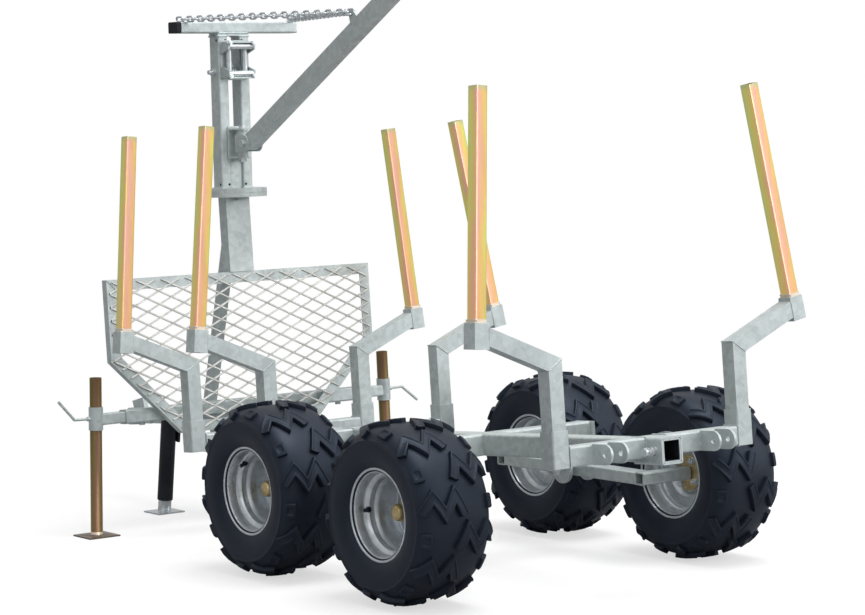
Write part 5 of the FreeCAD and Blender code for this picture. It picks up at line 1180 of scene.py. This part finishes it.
def stay_chains():
    """Chains from over the top beam's ends to the boom's ring, riding on no body.

    They are right at rest. With the boom raised their ends leave the beam and ring.
    """
    lift = Vector((0, 0, LINK_HALF))
    for side, sign in SIDES:
        node = f"stay_chain_{side}"
        beam_end, boom_end = axis_of(mesh_points(frame["nodes"][node].data))
        beam_end, boom_end = beam_end + lift, boom_end + lift * 0.3
        way = (boom_end - beam_end).normalized()
        beam_end -= way * (0.030 if sign > 0 else 0.0)
        links = round((boom_end - beam_end).length / LINK_PITCH) + 1
        chain = grown(
            chain_link(), "link_chain", "bright_zinc", Start=beam_end, End=boom_end,
            Links=links, Quarter=math.pi / 2, Sway=0.16,
        )
        piece = new_piece(f"{node}_links", chain, None, "bright_zinc", node)
        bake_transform(piece)


# ---------------------------------------------------------------- welds
SLEEVE_HALF, CROSSBEAM_Z = 0.0403, 0.4003
BUNK_X = {"front": 1.180, "middle": 0.700, "rear": -0.790}
LEANS = {
    ("front", 1): 6.2, ("front", -1): 5.1, ("middle", 1): 7.3,
    ("middle", -1): 9.7, ("rear", 1): 4.9, ("rear", -1): 10.3,
}
POST_Y, POST_HALF, POST_SLEEVE = 0.359, 0.025, 0.0303
ELBOW_Z, ARM_RISE = 0.668, math.radians(22.7)
SOCKET_Y, SOCKET_Z, SOCKET_HALF, SOCKET_LONG = 0.615, 0.767, 0.025, 0.036
COLUMN_X, COLUMN_HALF, COLUMN_GAP, COLUMN_WIDE = 1.450, 0.030, 0.025, 0.040
COLUMN_FOOT, COLUMN_TOP = 1.1925, 1.737


DRAWBAR_TOP = 0.475


def loop(corners):
    """A closed line round the given corners."""
    return list(corners) + [corners[0]]


def box_loop(place, across, upward):
    """Round a box section, from its centre and its two half-widths."""
    return loop([
        place + across + upward, place - across + upward,
        place - across - upward, place + across - upward,
    ])


def bead(name, lines, body, radius=0.0026, slot="galvanised_steel"):
    """Weld metal along lines."""
    points, edges = [], []
    for line in lines:
        edges += [(len(points) + n, len(points) + n + 1) for n in range(len(line) - 1)]
        points += line
    path = plain_mesh(name, points, edges=edges)
    mesh = grown(path, "weld_bead", slot, Radius=radius, Pitch=0.0028, Sides=7)
    new_piece(name, mesh, body, slot)


def bunk_ends():
    """Each end of each bunk: its place along the frame, its side and its stake's lean."""
    for bunk, station in BUNK_X.items():
        for _, sign in SIDES:
            yield station, sign, math.radians(LEANS[bunk, sign])


def bunk_weld_lines():
    """Round the crossbeam's ends, the post's mitre and the arm's end at its socket."""
    half = 0.031
    corners = ((-half, -half), (-half, half), (half, half), (half, -half))
    mitre = POST_HALF * math.tan(math.pi / 4 - ARM_RISE / 2)
    low, high = (POST_Y + POST_HALF, ELBOW_Z - mitre), (POST_Y - POST_HALF, ELBOW_Z + mitre)
    lines = []
    for station, sign, lean in bunk_ends():
        for y in (SLEEVE_HALF, POST_Y - POST_SLEEVE):
            lines.append(loop([level(station + x, sign * y, CROSSBEAM_Z + z) for x, z in corners]))
        lines.append(arm_section(station, sign, low, high))
        ends = []
        for y, z in (low, high):
            reach = math.cos(lean) * (SOCKET_Y - y) + math.sin(lean) * (SOCKET_Z - z) - SOCKET_HALF
            reach /= math.cos(ARM_RISE - lean)
            ends.append((y + reach * math.cos(ARM_RISE), z + reach * math.sin(ARM_RISE)))
        lines.append(arm_section(station, sign, *ends))
    return lines


def arm_section(station, sign, low, high):
    corners = ((-POST_HALF, low), (-POST_HALF, high), (POST_HALF, high), (POST_HALF, low))
    return loop([level(station + x, sign * y, z) for x, (y, z) in corners])


def stake_ring_lines():
    lines = []
    for station, sign, lean in bunk_ends():
        for along, half in ((SOCKET_LONG + 0.001, 0.0232), (SOCKET_LONG + 0.010, 0.0206)):
            corners = []
            for x, across in ((-half, -half), (-half, half), (half, half), (half, -half)):
                y = SOCKET_Y + across * math.cos(lean) - along * math.sin(lean)
                z = SOCKET_Z + across * math.sin(lean) + along * math.cos(lean)
                corners.append(level(station + x, sign * y, z))
            lines.append(loop(corners))
    return lines


def lug_weld_lines():
    lines = []
    for _, sign in SIDES:
        for y in (0.180, 0.240):
            for edge in (-0.004, 0.004):
                ends = (CROSSBEAM_Z - 0.029, CROSSBEAM_Z + 0.029)
                lines.append([level(-0.820, sign * y + edge, z) for z in ends])
    return lines


def mast_weld_lines():
    """Round the lower mast under the slew plate, which is level, and on the drawbar."""
    lines = []
    rear, ahead, half = 1.365, 1.415, 0.050
    slew_underside = 1.1618 - AXLE_HEIGHT
    for on_drawbar in (False, True):
        corners = []
        for x, y in ((rear, half), (rear, -half), (ahead, -half), (ahead, half)):
            z = (slew_underside + x * math.sin(NOSE_DOWN)) / math.cos(NOSE_DOWN) + AXLE_HEIGHT
            corners.append(level(x, y, DRAWBAR_TOP if on_drawbar else z))
        lines.append(loop(corners))
    return lines


def headboard_weld_lines():
    """Mitred corners of the angle frame."""
    lines = []
    leg = 0.040
    foot, waist = MESH_HALF - MESH_CHAMFER, BEAM_TOP + MESH_CHAMFER
    slip = (math.sqrt(2) - 1) * leg
    for _, sign in SIDES:
        for outer, inner in (
            ((MESH_HALF, MESH_TOP), (MESH_HALF - leg, MESH_TOP - leg)),
            ((MESH_HALF, waist), (MESH_HALF - leg, waist + slip)),
            ((foot, BEAM_TOP), (foot - slip, BEAM_TOP + leg)),
        ):
            lines.append([level(1.3695, sign * y, z) for y, z in (outer, inner)])
    return lines


def column_weld_lines():
    lines = []
    along, across = Vector((COLUMN_HALF, 0, 0)), Vector((0, COLUMN_WIDE / 2, 0))
    for _, sign in SIDES:
        centre_y = sign * (COLUMN_GAP + COLUMN_WIDE / 2)
        for z in (COLUMN_FOOT + 0.001, COLUMN_TOP - 0.001):
            lines.append(box_loop(upright(COLUMN_X, centre_y, z), along, across))
    for x in (COLUMN_X - COLUMN_HALF, COLUMN_X + COLUMN_HALF):
        lines.append([upright(x, y, COLUMN_TOP + 0.0105) for y in (-0.062, 0.062)])
    low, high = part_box("hinge_bracket")
    rear = COLUMN_X - COLUMN_HALF - MIDDLE - 0.004
    for y in (low.y, high.y):
        lines.append([Vector((rear, y, z)) for z in (low.z + 0.012, high.z - 0.012)])
    return lines


def box_mesh(name, low, high):
    """A plain block between two corners."""
    shape = bmesh.new()
    bmesh.ops.create_cube(shape, size=1.0)
    for vertex in shape.verts:
        spans = zip(low, high, vertex.co)
        vertex.co = Vector([a + (b - a) * (share + 0.5) for a, b, share in spans])
    mesh = bpy.data.meshes.new(name)
    shape.to_mesh(mesh)
    shape.free()
    return mesh


def column_gap_plate():
    """The plate that ties the two columns together below the boom's hinge."""
    rear = COLUMN_X - COLUMN_HALF - MIDDLE + 0.009
    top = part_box("hinge_bracket")[0].z
    plate = box_mesh(
        "plate", (rear, -COLUMN_GAP, COLUMN_FOOT), (rear + 0.006, COLUMN_GAP, top)
    )
    new_piece("column_gap_plate", plate, "upper_crane", "galvanised_steel")


def walking_beam_caps():
    """Plates that close the walking beams' tube ends, with their weld round them."""
    inset, weld_inset = 0.0008, 0.002
    for side, _ in SIDES:
        node = f"walking_beam_{side}"
        points = mesh_points(frame["nodes"][node].data)
        plates, lines = [], []
        for end in (points[:, 0].min(), points[:, 0].max()):
            rim = points[abs(points[:, 0] - end) < 0.0005]
            (_, right, foot), (_, left, top) = rim.min(0), rim.max(0)
            out = 0.002 * math.copysign(1, end - points[:, 0].mean())
            low = (min(end, end + out), right + inset, foot + inset)
            high = (max(end, end + out), left - inset, top - inset)
            plates.append(box_mesh("cap", low, high))
            right, left = right + weld_inset, left - weld_inset
            foot, top = foot + weld_inset, top - weld_inset
            corners = ((right, foot), (left, foot), (left, top), (right, top))
            lines.append(loop([Vector((end + out / 2, y, z)) for y, z in corners]))
        new_piece(f"{node}_end_plates", joined(plates), f"{node}_body", "galvanised_steel")
        bead(f"{node}_end_welds", lines, f"{node}_body", 0.0022)


def beam_socket_shade():
    """Painted shade in the main beam's open rear end: four thin black faces just off its walls,
    where the inside of the tube lies in shade.
    """
    inner, deep, thick = BEAM_HALF - BEAM_WALL - 0.0003, 0.30, 0.0004
    side = inner - thick
    walls = []
    for y, z, wide, tall in ((side, 0, thick, inner), (-side, 0, thick, inner),
                             (0, side, inner, thick), (0, -side, inner, thick)):
        low = (BEAM_REAR + 0.003, y - wide, BEAM_Z + z - tall)
        high = (BEAM_REAR + deep, y + wide, BEAM_Z + z + tall)
        walls.append(box_mesh("wall", low, high))
    shade_sheet = joined(walls)
    shade_sheet.transform(LEVEL_TO_STANDING)
    # painted shade: black faces stand in for the shade deep inside the open tube
    new_piece("beam_socket_lining", shade_sheet, "frame", "black_plastic")


def welds():
    bead("bunk_welds", bunk_weld_lines(), "frame", 0.0024)
    bead("stake_ring_welds", stake_ring_lines(), "frame", 0.0026)
    bead("lug_welds", lug_weld_lines(), "frame", 0.0022)
    bead("mast_welds", mast_weld_lines(), "frame", 0.0034)
    bead("headboard_welds", headboard_weld_lines(), "frame", 0.0018)
    bead("column_welds", column_weld_lines(), "upper_crane", 0.0034)


# ---------------------------------------------------------------- screws and holes
def screws():
    left = TILT.to_3x3() @ Vector((0, 1, 0))
    spots = [(level(x - 0.064, SLEEVE_HALF, BEAM_Z), left) for x in BUNK_X.values()]
    scattered("bunk_clamp_screws", clamp_screw(), spots, "frame", "bright_zinc")
    low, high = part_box("fairlead_frame")
    small = hex_piece("small_bolt", 0.014, 0.006, 0.004, 0.003)
    spots = []
    for y in (low.y + 0.010, high.y - 0.010):
        for z in (low.z + 0.012, high.z - 0.012):
            spots.append((Vector((low.x - 0.0002, y, z)), Vector((-1, 0, 0))))
    scattered("fairlead_screws", small, spots, "upper_crane", "bright_zinc")


VENT_OUTLINE = [(0.0, 0.0001), (0.0, 0.0046), (0.0004, 0.0046), (0.0004, 0.0001)]


def drain_holes():
    """The vent holes that a zinc bath needs, at the columns' ends, each a thin black disc on the
    face: painted shade in place of the shade inside the hole.
    """
    # painted shade: a black disc 0.4 mm thick stands in for each hole's shaded inside
    disc = tidied(spun_up("hole", VENT_OUTLINE, 18), 30)
    side, rear = COLUMN_GAP + COLUMN_WIDE, COLUMN_X - COLUMN_HALF
    spots = []
    for z in (COLUMN_FOOT + 0.014, COLUMN_TOP - 0.016):
        spots.append((upright(COLUMN_X - 0.018, side, z), Vector((0, 1, 0))))
        for _, sign in SIDES:
            spots.append((upright(rear, sign * (COLUMN_GAP + 0.010), z), Vector((-1, 0, 0))))
    scattered("column_vents", disc, spots, "upper_crane", "black_plastic")


camera()
studio()
dress_nodes()
tyres()
rims()
hubs_and_nuts()
chromate_tubes()
headboard_mesh()
stay_chains()
column_gap_plate()
walking_beam_caps()
beam_socket_shade()
welds()
screws()
drain_holes()
